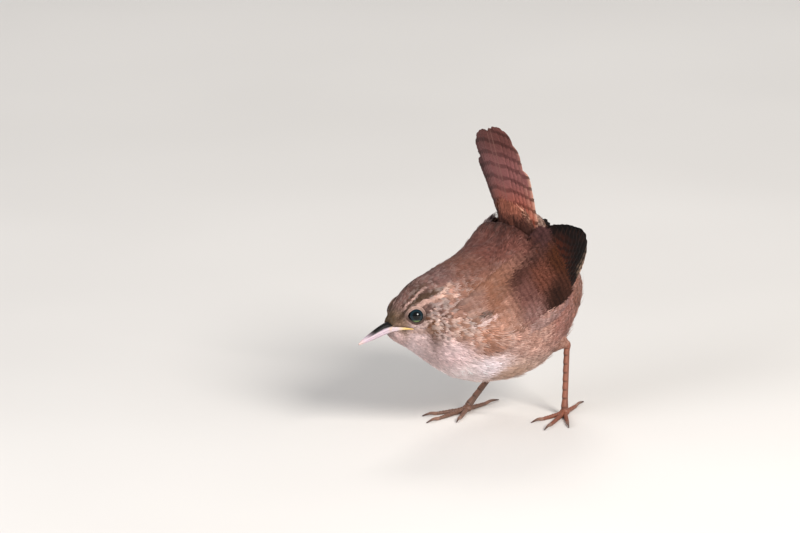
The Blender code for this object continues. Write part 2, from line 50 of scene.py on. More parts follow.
# Body form, as in the solids
trunk = {
    "rows": [  # top x, z, underside x, z, half width, from the bill's base to the vent
        (-39.6, 31.4, -38.9, 27.9, 1.7),
        (-38.6, 33.4, -37.2, 26.4, 3.4),
        (-37.0, 35.8, -34.9, 24.9, 4.6),
        (-34.6, 38.4, -32.0, 23.0, 6.0),
        (-31.6, 40.6, -28.9, 20.7, 7.6),
        (-28.0, 42.2, -25.6, 18.2, 9.4),
        (-23.8, 43.4, -21.6, 15.4, 11.3),
        (-18.6, 44.6, -16.4, 12.8, 13.0),
        (-12.6, 46.0, -10.0, 11.2, 14.5),
        (-6.2, 47.3, -2.6, 10.6, 15.3),
        (-0.2, 48.4, 5.0, 11.8, 15.2),
        (5.4, 48.6, 11.6, 15.0, 13.8),
        (10.2, 47.0, 17.2, 19.6, 11.4),
        (15.0, 43.8, 21.4, 25.0, 8.8),
        (19.2, 39.8, 23.6, 30.2, 5.7),
        (22.4, 36.4, 23.8, 34.2, 2.0),
    ],
    "cheekFullness": 0.07,  # each ring is this much wider below its middle
    "length": 78.0,  # along the middle line
    "headTurn": 8.0,
    "neckPivot": -20.0,
    "flatForehead": 0.55,  # how much lower the brow lies than the rings alone give
}


def splineRows(rows, share):
    rows = np.asarray(rows, float)
    last = len(rows) - 1
    place = np.clip(share, 0.0, 1.0) * last
    i = np.minimum(place.astype(int), last - 1)
    f = (place - i)[..., None]
    a, b = rows[np.maximum(i - 1, 0)], rows[i]
    c, d = rows[i + 1], rows[np.minimum(i + 2, last)]
    return 0.5 * (2 * b + (c - a) * f + (2 * a - 5 * b + 4 * c - d) * f**2 + (3 * b - a - 3 * c + d) * f**3)


def eased(value):
    value = np.clip(value, 0.0, 1.0)
    return value * value * (3 - 2 * value)


def unit(vectors):
    return vectors / np.maximum(np.linalg.norm(vectors, axis=-1, keepdims=True), 1e-9)


def blend(first, second, share):
    return first + (second - first) * share


def wrapped(angle):
    # the same angle, at most half a turn each way
    return (np.asarray(angle) + math.pi) % (2 * math.pi) - math.pi


def wayFrom(turn, height):
    # towards a place that is so many degrees round from the bird's left side, and so many up
    turn, height = math.radians(turn), math.radians(height)
    return np.array([math.sin(turn) * math.cos(height), -math.cos(turn) * math.cos(height), math.sin(height)])


def stacked(*parts):
    return np.stack(np.broadcast_arrays(*parts), axis=-1).astype(float)


def turnHead(points):
    turn = -math.radians(trunk["headTurn"]) * eased((trunk["neckPivot"] - points[..., 0]) / 12.0)
    x = points[..., 0] - trunk["neckPivot"]
    y = points[..., 1]
    return stacked(
        trunk["neckPivot"] + np.cos(turn) * x - np.sin(turn) * y,
        np.sin(turn) * x + np.cos(turn) * y,
        points[..., 2],
    )


eyes = {
    "centre": (-33.3, 3.85, 33.55),  # the right one, before the head turns
    "axis": (-0.45, 0.87, 0.20),
    "radius": 2.45,
    "opening": 1.74,
    "rim": 1.80,  # height of the feathers' rim over the middle of the eye, and its half width
    "rimWidth": 2.2,
    "cornea": 0.16,  # how far the clear front stands proud
    "pupilColour": "#020303",
    # the iris is dark brown; its teal tint is a painted reflection of green surroundings
    "irisColourAndReflection": "#0a1e25",
    # a painted glint in the lower half of the iris
    "irisPaintedGlint": "#7f9158",
    "rimColour": "#050808",
}


def eyePlace(side):
    flip = np.array([1, side, 1])
    centre = np.array(eyes["centre"]) * flip
    ahead = centre + unit(np.array(eyes["axis"])) * flip
    centre, ahead = turnHead(np.array([centre, ahead]))
    return centre, unit(ahead - centre)


# The solids were centred on the floor, so the left eye tells how far the bird was moved.
boxLow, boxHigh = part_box("eye_left")
shift = (np.array(boxLow) + np.array(boxHigh)) / 2 / mm - eyePlace(-1)[0]
shift[2] = 0.0


def raisedSockets(points, grow):
    # The brow, lore and cheek rise to the rim of each eye
    lift = np.zeros_like(points)
    for side in (-1, 1):
        centre, axis = eyePlace(side)
        away = points - centre
        deep = away @ axis
        out = np.linalg.norm(away - deep[..., None] * axis, axis=-1)
        height = np.maximum(eyes["rim"] + grow - deep, 0) * (1 - eased((out - eyes["rimWidth"]) / 1.5))
        height = height * eased((deep + 0.4) / 0.9)
        lift = lift + height[..., None] * axis
    return points + lift


def bodyPoint(share, angle, grow=0.0):
    # angle is measured from the top of the back, positive on the bird's right
    share, socketGrow = np.asarray(share, float), grow
    row = splineRows(trunk["rows"], share)
    flat = trunk["flatForehead"] * np.exp(-(((share - 0.12) / 0.06) ** 2))
    grow = grow - flat * eased((np.cos(angle) - 0.35) / 0.4)
    zero = np.zeros_like(row[..., 0])
    top = stacked(row[..., 0], zero, row[..., 1])
    low = stacked(row[..., 2], zero, row[..., 3])
    height = np.linalg.norm(top - low, axis=-1)
    up = (top - low) / height[..., None]
    out = (row[..., 4] + grow) * np.sin(angle) * (1 - trunk["cheekFullness"] * np.cos(angle))
    point = (top + low) / 2 + up * ((height / 2 + grow) * np.cos(angle))[..., None]
    point[..., 1] += out
    return raisedSockets(turnHead(point), socketGrow) + shift


# Making meshes and materials
def linear(hexColour):
    values = [int(hexColour[i:i + 2], 16) / 255 for i in (1, 3, 5)]
    return np.array([v / 12.92 if v <= 0.04045 else ((v + 0.055) / 1.055) ** 2.4 for v in values])


def addNode(tree, kind, settings=None, inputs=None, ramp=None):
    made = tree.nodes.new(kind)
    for name, value in (settings or {}).items():
        setattr(made, name, value)
    for name, value in (inputs or {}).items():
        if isinstance(value, bpy.types.NodeSocket):
            tree.links.new(value, made.inputs[name])
        else:
            made.inputs[name].default_value = value
    if ramp:
        points = made.color_ramp.elements
        while len(points) < len(ramp):
            points.new(0.5)
        for point, (place, colour) in zip(points, ramp):
            point.position = place
            point.color = (*linear(colour), 1) if isinstance(colour, str) else (colour, colour, colour, 1)
    return made


def newMaterial(name, surface):
    made = bpy.data.materials.new(name)
    made.use_nodes = True
    tree = made.node_tree
    shader = tree.nodes["Principled BSDF"]
    for socket, value in surface.items():
        shader.inputs[socket].default_value = value
    return made, tree, shader


def addAttribute(mesh, name, kind, key, rows):
    layer = mesh.attributes.new(name, kind, "POINT")
    layer.data.foreach_set(key, np.asarray(rows, np.float32).ravel())


def vertexPoints(mesh):
    points = np.empty(len(mesh.vertices) * 3, np.float32)
    mesh.vertices.foreach_get("co", points)
    return points.reshape(-1, 3)


def selectOnly(*pieces):
    # the last one named is the active one
    bpy.ops.object.select_all(action="DESELECT")
    for piece in pieces:
        piece.select_set(True)
    bpy.context.view_layer.objects.active = pieces[-1]


def applyModifier(piece, kind, **settings):
    modifier = piece.modifiers.new(kind.lower(), kind)
    for key, value in settings.items():
        setattr(modifier, key, value)
    selectOnly(piece)
    bpy.ops.object.modifier_apply(modifier=modifier.name)


def addBall(centre, radius, segments, rings):
    bpy.ops.mesh.primitive_uv_sphere_add(
        segments=segments, ring_count=rings, radius=radius * mm, location=centre * mm
    )
    return bpy.context.object


def withAlpha(colours, alpha):
    colours = colours.reshape(-1, 3)
    return np.column_stack([colours, np.full(len(colours), float(alpha))])


def newPiece(name, points, faces, material, colours=None, values=None, bake=None):
    # points are in millimetres, one row for each vertex; colours and values are named attributes
    mesh = bpy.data.meshes.new(name)
    mesh.from_pydata(np.asarray(points) * mm, [], faces)
    piece = bpy.data.objects.new(name, mesh)
    bpy.context.scene.collection.objects.link(piece)
    for key, rows in (colours or {}).items():
        addAttribute(mesh, key, "FLOAT_COLOR", "color", rows)
    for key, rows in (values or {}).items():
        addAttribute(mesh, key, "FLOAT", "value", rows)
    if bake is not None:
        layer = mesh.uv_layers.new(name="OFBake")
        corner = np.empty(len(mesh.loops), np.int32)
        mesh.loops.foreach_get("vertex_index", corner)
        layer.data.foreach_set("uv", np.asarray(bake, np.float32)[corner].ravel())
    mesh.materials.append(material)
    mesh.shade_smooth()
    return piece


def finished(piece, slot, *replaced):
    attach(piece, "root")
    if replaced:
        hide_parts(*replaced)
    return piece


# Plumage: what grows where
plumage = {
    # share of the body's length, degrees from the top, colour, feather length, width, distance
    # between roots, coat depth, strength of bars, how much one feather differs from the next, and
    # the tip: pale flecks where positive, a dark rim where negative
    "forehead": (0.06, 20, "#51402f", 1.4, 0.7, 0.38, 0.50, 0.0, 0.14, 0.1),
    "lore": (0.10, 66, "#745c4c", 1.2, 0.6, 0.36, 0.45, 0.0, 0.16, 0.1),
    "chin": (0.06, 140, "#d4b6b2", 1.6, 0.8, 0.42, 0.55, 0.0, 0.12, -0.2),
    "crown": (0.20, 8, "#71534c", 2.2, 1.1, 0.48, 0.80, 0.25, 0.18, 0.4),
    "crownSide": (0.24, 40, "#402f28", 2.0, 0.95, 0.44, 0.75, 0.1, 0.14, 0.1),
    "ear": (0.29, 64, "#604540", 2.2, 0.95, 0.46, 0.80, 0.1, 0.28, 0.8),
    "cheek": (0.27, 84, "#593b2b", 2.3, 1.05, 0.48, 0.9, 0.1, 0.32, 1.0),
    "malar": (0.20, 116, "#c4acaa", 2.4, 1.2, 0.52, 0.9, 0.2, 0.18, -0.6),
    "throat": (0.19, 160, "#d6c0c0", 3.2, 1.7, 0.66, 1.2, 0.1, 0.10, -0.3),
    "nape": (0.38, 10, "#6b4f4a", 3.9, 2.2, 0.70, 1.3, 0.3, 0.12, 0.2),
    "neckSide": (0.38, 62, "#876458", 3.9, 2.0, 0.68, 1.4, 0.15, 0.26, 0.8),
    "neckLow": (0.37, 92, "#8a6859", 4.2, 2.0, 0.70, 1.5, 0.15, 0.28, 0.9),
    "breast": (0.36, 124, "#d2b8b8", 5.0, 2.6, 0.80, 1.7, 0.1, 0.12, -0.2),
    "breastLow": (0.45, 150, "#efdede", 6.0, 3.2, 0.90, 1.9, 0.1, 0.10, 0.2),
    "breastPale": (0.485, 137, "#e9dade", 6.5, 3.4, 0.95, 2.0, 0.1, 0.10, 0.2),
    "mantle": (0.47, 22, "#704b40", 5.2, 3.0, 0.86, 1.6, 0.35, 0.10, 0.1),
    "shoulder": (0.46, 62, "#7f5644", 5.0, 2.8, 0.84, 1.6, 0.2, 0.14, 0.2),
    "breastSide": (0.46, 100, "#9e725f", 6.0, 2.9, 0.86, 1.9, 0.25, 0.16, 0.5),
    "back": (0.60, 14, "#6c433b", 6.0, 3.4, 0.92, 1.7, 0.6, 0.10, 0.1),
    "belly": (0.56, 145, "#c2a08d", 7.0, 3.6, 1.00, 2.0, 0.45, 0.12, 0.3),
    "bellyMid": (0.58, 175, "#dcc4ba", 7.0, 3.6, 1.00, 2.0, 0.1, 0.10, 0.2),
    "flank": (0.60, 104, "#ab8375", 7.5, 3.4, 0.95, 2.0, 0.6, 0.12, 0.3),
    "flankRear": (0.72, 104, "#90645a", 8.0, 3.6, 0.98, 1.9, 0.8, 0.12, 0.2),
    "backLow": (0.69, 12, "#4a2d27", 6.5, 3.6, 0.95, 1.6, 0.7, 0.10, 0.0),
    "rump": (0.86, 20, "#6f4132", 7.0, 3.6, 0.95, 1.5, 0.6, 0.12, 0.0),
    "ventSide": (0.84, 112, "#8a6052", 7.5, 3.2, 0.95, 1.6, 0.9, 0.14, 0.6),
    "vent": (0.86, 160, "#b08a78", 7.0, 3.4, 0.96, 1.6, 0.7, 0.14, 0.7),
}
plumageRows = np.array([
    (share, math.radians(angle), *linear(colour), *rest)
    for share, angle, colour, *rest in plumage.values()
])
# Lines and patches of the face: colour, half width in mm, strength, and points of share and degrees
faceLines = {
    "crownStripe": (
        "#463529", 0.75, 0.85, [(0.10, 46), (0.145, 44), (0.195, 40), (0.24, 40), (0.30, 40), (0.35, 38)],
    ),
    "crownFlecks": ("#c4a095", 0.32, 0.68, [(0.165, 31), (0.214, 33), (0.252, 30), (0.30, 26)]),
    "upperStripe": ("#4d3a30", 0.55, 0.60, [(0.17, 22), (0.21, 23), (0.26, 22), (0.31, 18)]),
    "brow": ("#cda79a", 0.56, 0.74, [(0.165, 53), (0.20, 49), (0.245, 49), (0.30, 49), (0.345, 44)]),
    "browRear": ("#c09a88", 0.60, 0.60, [(0.335, 46), (0.36, 40), (0.385, 35)]),
    "browLow": ("#b8917f", 0.55, 0.55, [(0.30, 51), (0.34, 51), (0.38, 50)]),
    "earLine": ("#cfb0a4", 0.22, 0.75, [(0.262, 84), (0.276, 76), (0.279, 68), (0.272, 60)]),
    "earLineRear": ("#c6a799", 0.22, 0.65, [(0.284, 86), (0.300, 78), (0.302, 70), (0.294, 62)]),
    "lowerLid": ("#d2b6ad", 0.26, 0.75, [(0.175, 92), (0.205, 91), (0.235, 86), (0.250, 79)]),
    "earPatch": ("#65504a", 1.35, 0.60, [(0.275, 62), (0.30, 61), (0.34, 56)]),
    "moustache": ("#8d6f5f", 0.6, 0.55, [(0.155, 96), (0.20, 100), (0.26, 96), (0.31, 90)]),
    # painted shade: a darker grey band on the flank, under the folded wing's lower edge
    "flankShadeUnderWing": ("#7a6262", 1.1, 0.60, [(0.59, 91), (0.64, 90), (0.68, 89.5), (0.74, 90)]),
    # painted shade in the gap at the wing's bend, where the flank feathers cover it
    "wristGapShade": ("#45342e", 0.55, 0.85, [(0.408, 83), (0.425, 80), (0.440, 79)]),
    "wristPale": ("#dcc6c4", 0.38, 0.55, [(0.412, 87), (0.432, 84.5), (0.448, 83)]),
    "eyeFront": ("#c9a597", 0.55, 0.7, [(0.150, 60), (0.165, 72)]),
}


def nearestLooks(gap, rows, soft):
    # the looks of the nearest named parts, blended by their squared distances
    weight = 1.0 / (gap + soft) ** 2
    weight = weight / weight.sum(axis=-1, keepdims=True)
    return weight @ rows


def regionAt(share, angle):
    wide = splineRows(trunk["rows"], share)[..., 4]
    reach = np.maximum(wide, 5.0)[..., None]
    gap = ((share[..., None] - plumageRows[:, 0]) * trunk["length"]) ** 2
    gap = gap + ((np.abs(wrapped(angle))[..., None] - plumageRows[:, 1]) * reach) ** 2
    return nearestLooks(gap, plumageRows[:, 2:], 1.5)


def distanceToLine(share, angle, line):
    # in millimetres on the body's surface, measured on the side that angle is on
    wide = np.maximum(splineRows(trunk["rows"], share)[..., 4], 3.0) * 1.15
    x = share * trunk["length"]
    y = np.abs(angle) * wide
    best = np.full(x.shape, 99.0)
    for (shareA, degreesA), (shareB, degreesB) in zip(line[:-1], line[1:]):
        ax, ay = shareA * trunk["length"], math.radians(degreesA) * wide
        bx, by = shareB * trunk["length"], math.radians(degreesB) * wide
        run = (bx - ax) ** 2 + (by - ay) ** 2
        f = np.clip(((x - ax) * (bx - ax) + (y - ay) * (by - ay)) / run, 0, 1)
        best = np.minimum(best, np.hypot(x - ax - f * (bx - ax), y - ay - f * (by - ay)))
    return best


def markings(share, angle):
    # The colour of the plumage, then the numbers of its region from length onwards
    looks = regionAt(share, angle)
    colour = looks[..., :3].copy()
    angle = wrapped(angle)
    for hexColour, half, strength, line in faceLines.values():
        near = strength * (1 - eased((distanceToLine(share, angle, line) - half * 0.6) / (half * 0.9)))
        colour = blend(colour, linear(hexColour), near[..., None])
    for side in (-1, 1):  # a pale ring of short feathers round each eye
        centre, axis = eyePlace(side)
        away = bodyPoint(share, angle) - shift - centre
        across = np.linalg.norm(away - (away @ axis)[..., None] * axis, axis=-1)
        near = 0.35 * (1 - eased((across - 2.3) / 0.8)) * (away @ axis > 0)
        colour = blend(colour, linear("#ab887b"), near[..., None])
    return colour, looks[..., 3:]


# Bill
bill = {
    "tip": (-48.3, 0.0, 27.25),
    "pitch": 15.0,
    "rows": [  # distance from the tip, half width, heights of the upper and lower mandible
        (0.0, 0.22, 0.22, 0.20),
        (2.0, 0.62, 0.72, 0.62),
        (4.5, 0.98, 1.12, 0.95),
        (7.0, 1.28, 1.48, 1.12),
        (9.4, 1.85, 1.60, 1.15),
        (11.6, 3.15, 1.30, 1.00),
        (14.6, 5.00, 0.50, 0.65),
    ],
    "mouthGap": 0.05,
    "nostril": ((7.3, 0.85), (8.9, 1.05)),  # distance from the tip and height, front and back
    "gape": [  # share and degrees on the body, half height: the bare corner of the mouth
        (0.0, 75, 0.60),
        (0.028, 76, 0.55),
        (0.06, 79, 0.46),
        (0.10, 84.5, 0.34),
        (0.132, 88.5, 0.24),
        (0.163, 92, 0.10),
    ],
    "gapeDrop": 0.03,  # how fast the mouth's line curves down to its corner, behind 8 mm
    "bareLength": 8.9,  # no feather reaches nearer to the tip
    "rings": 72,
    "sides": 25,
}


def billPoint(distance, across, height):
    pitch = math.radians(bill["pitch"])
    droop = 0.5 - 0.5 * (1 - np.minimum(distance / 9.0, 1.0)) ** 2
    droop = droop - bill["gapeDrop"] * np.maximum(distance - 8.0, 0.0) ** 2
    x = bill["tip"][0] + distance * math.cos(pitch) - (height + droop) * math.sin(pitch)
    z = bill["tip"][2] + distance * math.sin(pitch) + (height + droop) * math.cos(pitch)
    return turnHead(stacked(x, across, z)) + shift


def closedTube(points):
    # Faces of a closed skin over rings, points being (rings, sides, 3), with both ends capped
    rings, sides = points.shape[:2]
    index = np.arange(rings * sides).reshape(rings, sides)
    ahead = np.roll(index, -1, axis=1)
    faces = np.stack([index[:-1], index[1:], ahead[1:], ahead[:-1]], -1).reshape(-1, 4).tolist()
    return faces + [index[0].tolist(), index[-1][::-1].tolist()]


def facingOut(piece):
    selectOnly(piece)
    bpy.ops.object.mode_set(mode="EDIT")
    bpy.ops.mesh.select_all(action="SELECT")
    bpy.ops.mesh.normals_make_consistent(inside=False)
    bpy.ops.object.mode_set(mode="OBJECT")
    bpy.ops.object.select_all(action="DESELECT")
    return piece


def tonePiece(name, points, faces, material, colours, key="tone", alpha=1.0):
    colours = np.broadcast_to(colours, points.shape)
    return facingOut(newPiece(name, points.reshape(-1, 3), faces, material, {key: withAlpha(colours, alpha)}))


def joinedTubes(tubes):
    # One mesh of closed tubes, each with its colours, cut level where it would pass the floor
    points, faces, colours = [], [], []
    start = 0
    for rings, colour in tubes:
        rings[..., 2] = np.maximum(rings[..., 2], 0.0)
        faces += [[i + start for i in face] for face in closedTube(rings)]
        start += rings.shape[0] * rings.shape[1]
        points.append(rings.reshape(-1, 3))
        colours.append(np.broadcast_to(colour, rings.shape).reshape(-1, 3))
    return np.vstack(points), faces, np.vstack(colours)


def billColours(far, ridge, hollow, upper):
    # Pale horn, dark on the ridge and base of the upper half, yellow towards the gape
    if upper:
        top = eased((ridge - 0.34 + 0.04 * (far - 6) / 6) / 0.22) * eased((far - 0.9) / 4.5)
        top = np.maximum(top, eased((far - 9.0) / 2.5) * eased((ridge - 0.25) / 0.3))
    else:
        top = np.zeros_like(far)
    colour = blend(linear("#bba9b2"), linear("#12100e"), top[..., None])
    yellow = eased((far - 8.2) / 2.6) * (1 - top) * (0.9 if upper else 0.75)
    colour = blend(colour, linear("#cfa96c"), yellow[..., None])
    colour = blend(colour, linear("#d8b48c"), 0.35 * (1 - eased(far / 2.0))[..., None])
    # painted shade: the nostril is painted nearly black, for the shadow in its opening
    return colour * (1 - 0.9 * hollow[..., None])


def makeMandible(name, upper, material):
    sign = 1 if upper else -1
    row = splineRows(bill["rows"], np.linspace(0, 1, bill["rings"]) ** 1.15)
    distance, halfWidth, height = row[:, 0:1], row[:, 1:2], (row[:, 2:3] if upper else row[:, 3:4])
    angle = np.linspace(0, math.pi, bill["sides"])[None, :]
    ridge = np.abs(np.sin(angle)) ** (1.25 if upper else 0.9)  # the upper one has a ridge along its top
    across = halfWidth * np.cos(angle)
    tall = bill["mouthGap"] + (height - bill["mouthGap"]) * ridge
    hollow = np.zeros_like(across)
    if upper:  # the nostrils
        (frontD, frontH), (backD, backH) = bill["nostril"]
        f = np.clip((distance - frontD) / (backD - frontD), 0, 1)
        awayD = (distance - frontD - f * (backD - frontD)) * 0.9
        awayH = (tall - frontH - f * (backH - frontH)) * 2.6
        off = np.hypot(awayD, awayH)
        dent = 0.34 * np.exp(-((off / 0.30) ** 2)) * (np.abs(np.cos(angle)) > 0.25)
        across = across - np.sign(across) * dent
        # how strongly the painted shade of the nostril falls here
        hollow = np.exp(-((off / 0.34) ** 2))
    innerAcross = halfWidth * 0.96 * np.linspace(-1, 1, 7)[None, 1:-1]  # across the closed mouth
    innerTall = np.full_like(innerAcross, bill["mouthGap"] * 0.5)
    none = np.zeros_like(innerAcross)
    across = np.concatenate([across, innerAcross], axis=1)
    far = np.broadcast_to(distance, across.shape)
    points = billPoint(far, across, sign * np.concatenate([tall, innerTall], axis=1))
    ridge = np.concatenate([np.broadcast_to(ridge, tall.shape), none], axis=1)
    hollow = np.concatenate([hollow, none], axis=1)
    return tonePiece(name, points, closedTube(points), material, billColours(far, ridge, hollow, upper))


def gapeLine(side, share, grow):
    row = splineRows(bill["gape"], share)
    return bodyPoint(row[..., 0], side * np.radians(row[..., 1]), grow), row[..., 2]


def makeGape(name, side, material):
    # The soft bare flange at the corner of the mouth, white in front and yellow behind
    f = np.linspace(0, 1, 60)
    inner, half = gapeLine(side, f, -0.9)
    centre, _ = gapeLine(side, f, -0.22)
    out = unit(centre - inner)
    way = unit(np.gradient(centre, axis=0))
    up = unit(np.cross(way, out))
    turn = np.arange(18) * 2 * math.pi / 18
    flare = 1 + 0.05 * np.sin(f * 40)
    points = (
        centre[:, None]
        + up[:, None] * (np.cos(turn)[None] * (half * flare)[:, None])[..., None]
        + out[:, None] * (np.sin(turn)[None] * (0.42 - 0.20 * f)[:, None])[..., None]
    )
    # painted shade along the crease where the gape's upper and lower lips meet
    creaseShade = 1 - 0.25 * np.exp(-((np.cos(turn) / 0.25) ** 2))
    colour = blend(linear("#cbb8bb"), linear("#d6b26c"), eased((f - 0.30) / 0.45)[:, None])
    return tonePiece(name, points, closedTube(points), material, colour[:, None] * creaseShade[None, :, None])


# Skin
skinSettings = {
    "sides": 72,
    "rings": 120,
    "voxel": 0.42,
    "smooth": 4,
    # distance from the heel, and radius
    "thighBalls": ((1.8, 0.9), (3.6, 1.6), (5.6, 2.6), (8.2, 3.4), (11.5, 3.9)),
    "socketGap": 0.06,
    "shade": 0.5,  # share of the feathers' own colour
}
legs = {
    "left": {
        "side": -1, "foot": (11.4, -10.5), "heel": (13.2, -9.4), "hip": (6.0, -7.4, 22.0), "turn": 26.0,
        "tone": "#86523f",
    },
    "right": {
        # the far leg's greyer, duller tone is painted shade: it stands in shadow under the body
        "side": 1, "foot": (-4.6, 9.4), "heel": (8.2, 8.2), "hip": (2.0, 6.6, 18.0), "turn": -6.0,
        "tone": "#7d5d4e",
    },
}
tarsusLength = 17.5
padHeight = 1.15


def legPoints(leg):
    foot = np.array([*leg["foot"], padHeight])
    flat = np.array([leg["heel"][0] - leg["foot"][0], leg["heel"][1] - leg["foot"][1]])
    rise = math.sqrt(tarsusLength**2 - flat @ flat)
    heel = foot + np.array([*flat, rise])
    return foot, heel, np.array(leg["hip"])


def coatDepth(share, angle):
    return regionAt(share, angle)[..., 6]


def makeTrunkSkin():
    bpy.ops.mesh.primitive_uv_sphere_add(
        segments=skinSettings["sides"], ring_count=skinSettings["rings"], radius=1, location=(0, 0, 0)
    )
    skin = bpy.context.object
    skin.name = "skin"
    ball = vertexPoints(skin.data)
    share = np.arccos(np.clip(ball[:, 2], -1, 1)) / math.pi
    angle = np.arctan2(ball[:, 1], ball[:, 0])
    points = bodyPoint(share, angle, -coatDepth(share, angle))
    for end in (0, 1):  # each pole sits in the middle of its ring
        poles = np.abs(share - end) < 1e-3
        points[poles] = bodyPoint(np.full(8, float(end)), np.arange(8) * math.pi / 4, -0.5).mean(axis=0)
    skin.data.vertices.foreach_set("co", (points * mm).ravel())
    return skin


def joinThighs(skin):
    for leg in legs.values():
        _, heel, hip = legPoints(leg)
        way = unit(hip - heel)
        for along, radius in skinSettings["thighBalls"]:
            selectOnly(addBall(heel + way * along + shift, radius, 24, 16), skin)
            bpy.ops.object.join()


def cutSockets(skin):
    # the hollows that the eyeballs sit in
    for side in (-1, 1):
        cutter = addBall(eyePlace(side)[0] + shift, eyes["radius"] + skinSettings["socketGap"], 48, 32)
        applyModifier(skin, "BOOLEAN", operation="DIFFERENCE", object=cutter, solver="MANIFOLD")
        bpy.data.objects.remove(cutter)


def colourSkin(skin):
    # the skin takes the markings of the feathers over it, so that no gap between them shows
    share, angle = np.meshgrid(np.linspace(0, 1, 140), np.linspace(-math.pi, math.pi, 96, endpoint=False))
    share, angle = share.ravel(), angle.ravel()
    samples = bodyPoint(share, angle, -1.2)
    tree = kdtree.KDTree(len(samples))
    for i, place in enumerate(samples):
        tree.insert(place, i)
    tree.balance()
    nearest = np.array([tree.find(point)[1] for point in vertexPoints(skin.data) / mm])
    colour = markings(share, angle)[0][nearest] * skinSettings["shade"]
    addAttribute(skin.data, "plume", "FLOAT_COLOR", "color", withAlpha(colour, 0))


def makeSkin(material):
    skin = makeTrunkSkin()
    joinThighs(skin)
    selectOnly(skin)
    bpy.ops.object.transform_apply(location=True, rotation=True, scale=True)
    applyModifier(skin, "REMESH", mode="VOXEL", voxel_size=skinSettings["voxel"] * mm)
    applyModifier(skin, "SMOOTH", iterations=skinSettings["smooth"])
    cutSockets(skin)
    colourSkin(skin)
    skin.data.materials.clear()
    skin.data.materials.append(material)
    skin.data.shade_smooth()
    return skin


# Contour feathers
def outline(u):
    # half width of a contour feather, as a share, from its root to its round tip
    low = 0.30 + 0.70 * eased(u / 0.58)
    high = np.sqrt(np.clip(1 - ((u - 0.58) / 0.44) ** 2, 0, 1))
    return np.where(u < 0.58, low, high)


def featherPattern(barbs, vaneRows=(0.0, 0.34, 0.66)):
    # One feather in its own flat frame: a narrow vane, and barbs that run off its shaft to the rim
    along, across, lift, barb, ends, faces = [], [], [], [], [], []
    for u in vaneRows:
        for c in (-1, 0, 1):
            along.append(u - 0.04 * abs(c))
            across.append(c * 0.5 * float(outline(np.array(u))))
            lift.append(0.03 * (c == 0))
            barb.append(0)
            ends.append(0.0)
    for i in range(len(vaneRows) - 1):
        for c in (0, 1):
            a = i * 3 + c
            faces += [(a, a + 1, a + 4), (a, a + 4, a + 3)]
    half = barbs // 2
    rim = [(side, (j + 0.5) / half) for side in (-1, 1) for j in range(half)] + [(0, 1.0)]
    for number, (side, t) in enumerate(rim):
        outU = 0.30 + 0.68 * t**0.9 if side else 1.02
        outC = side * float(outline(np.array(min(outU, 0.99)))) * 1.05
        inU, inC = outU - 0.33, outC * 0.16
        midU, midC = inU + 0.20, outC * 0.70
        first = len(along)
        wide = 1.9 / barbs
        stations = ((inU, inC, wide, 0.0), (midU, midC, wide * 0.8, 0.4), (outU + 0.02, outC, 0.0, 1.0))
        for u, c, w, end in stations:
            for s in (-1, 1) if w else (0,):
                along.append(u - 0.3 * s * side * w)
                across.append(c + s * w)
                lift.append(0.05 + 0.03 * (number % 3))
                barb.append(number)
                ends.append(end)
        faces += [(first, first + 1, first + 3), (first, first + 3, first + 2)]
        faces.append((first + 2, first + 3, first + 4))
    return {
        "along": np.array(along), "across": np.array(across), "lift": np.array(lift),
        "barb": np.array(barb), "ends": np.array(ends), "faces": np.array(faces), "barbs": len(rim),
    }


def followSurface(surface, u, v, lie, length, deltas, limits, steps=6):
    # Lines on a surface that run along u, turned by lie towards v, and straight on past its end
    u, v = u.copy(), v.copy()
    step = length / (steps - 1)
    rows = {"points": [], "outs": [], "sides": [], "u": [], "v": []}
    last = None
    for _ in range(steps):
        inside = ((u > limits[0]) & (u < limits[1]))[:, None]
        safe = np.clip(u, *limits)
        here = surface(safe, v)
        back = (surface(safe + deltas[0], v) - surface(safe - deltas[0], v)) / (2 * deltas[0])
        turn = (surface(safe, v + deltas[1]) - surface(safe, v - deltas[1])) / (2 * deltas[1])
        backLength = np.linalg.norm(back, axis=1)
        turnLength = np.maximum(np.linalg.norm(turn, axis=1), 0.3)
        out = unit(np.cross(back, turn))
        way = unit(unit(back) * np.cos(lie)[:, None] + unit(turn) * np.sin(lie)[:, None])
        if last is not None:
            here = np.where(inside, here, last[0] + last[1] * step[:, None])
            way = np.where(inside, way, last[1])
            out = np.where(inside, out, last[2])
        last = here, way, out
        for key, value in zip(rows, (here, out, unit(np.cross(way, out)), safe, v.copy())):
            rows[key].append(value)
        u += np.cos(lie) * step / np.maximum(backLength, 1e-3)
        v += np.sin(lie) * step / turnLength
    return {key: np.stack(value, 1) for key, value in rows.items()}


def sampled(rows, place):
    # rows is (feathers, steps, 3), place is (feathers, points) from 0 to 1, or a little past it
    steps = rows.shape[1]
    where = np.clip(place, 0, 1) * (steps - 1)
    i = np.minimum(where.astype(int), steps - 2)
    f = (where - i)[..., None] + np.maximum(place - 1, 0)[..., None] * (steps - 1)
    over = np.arange(len(rows))[:, None]
    return rows[over, i] * (1 - f) + rows[over, i + 1] * f


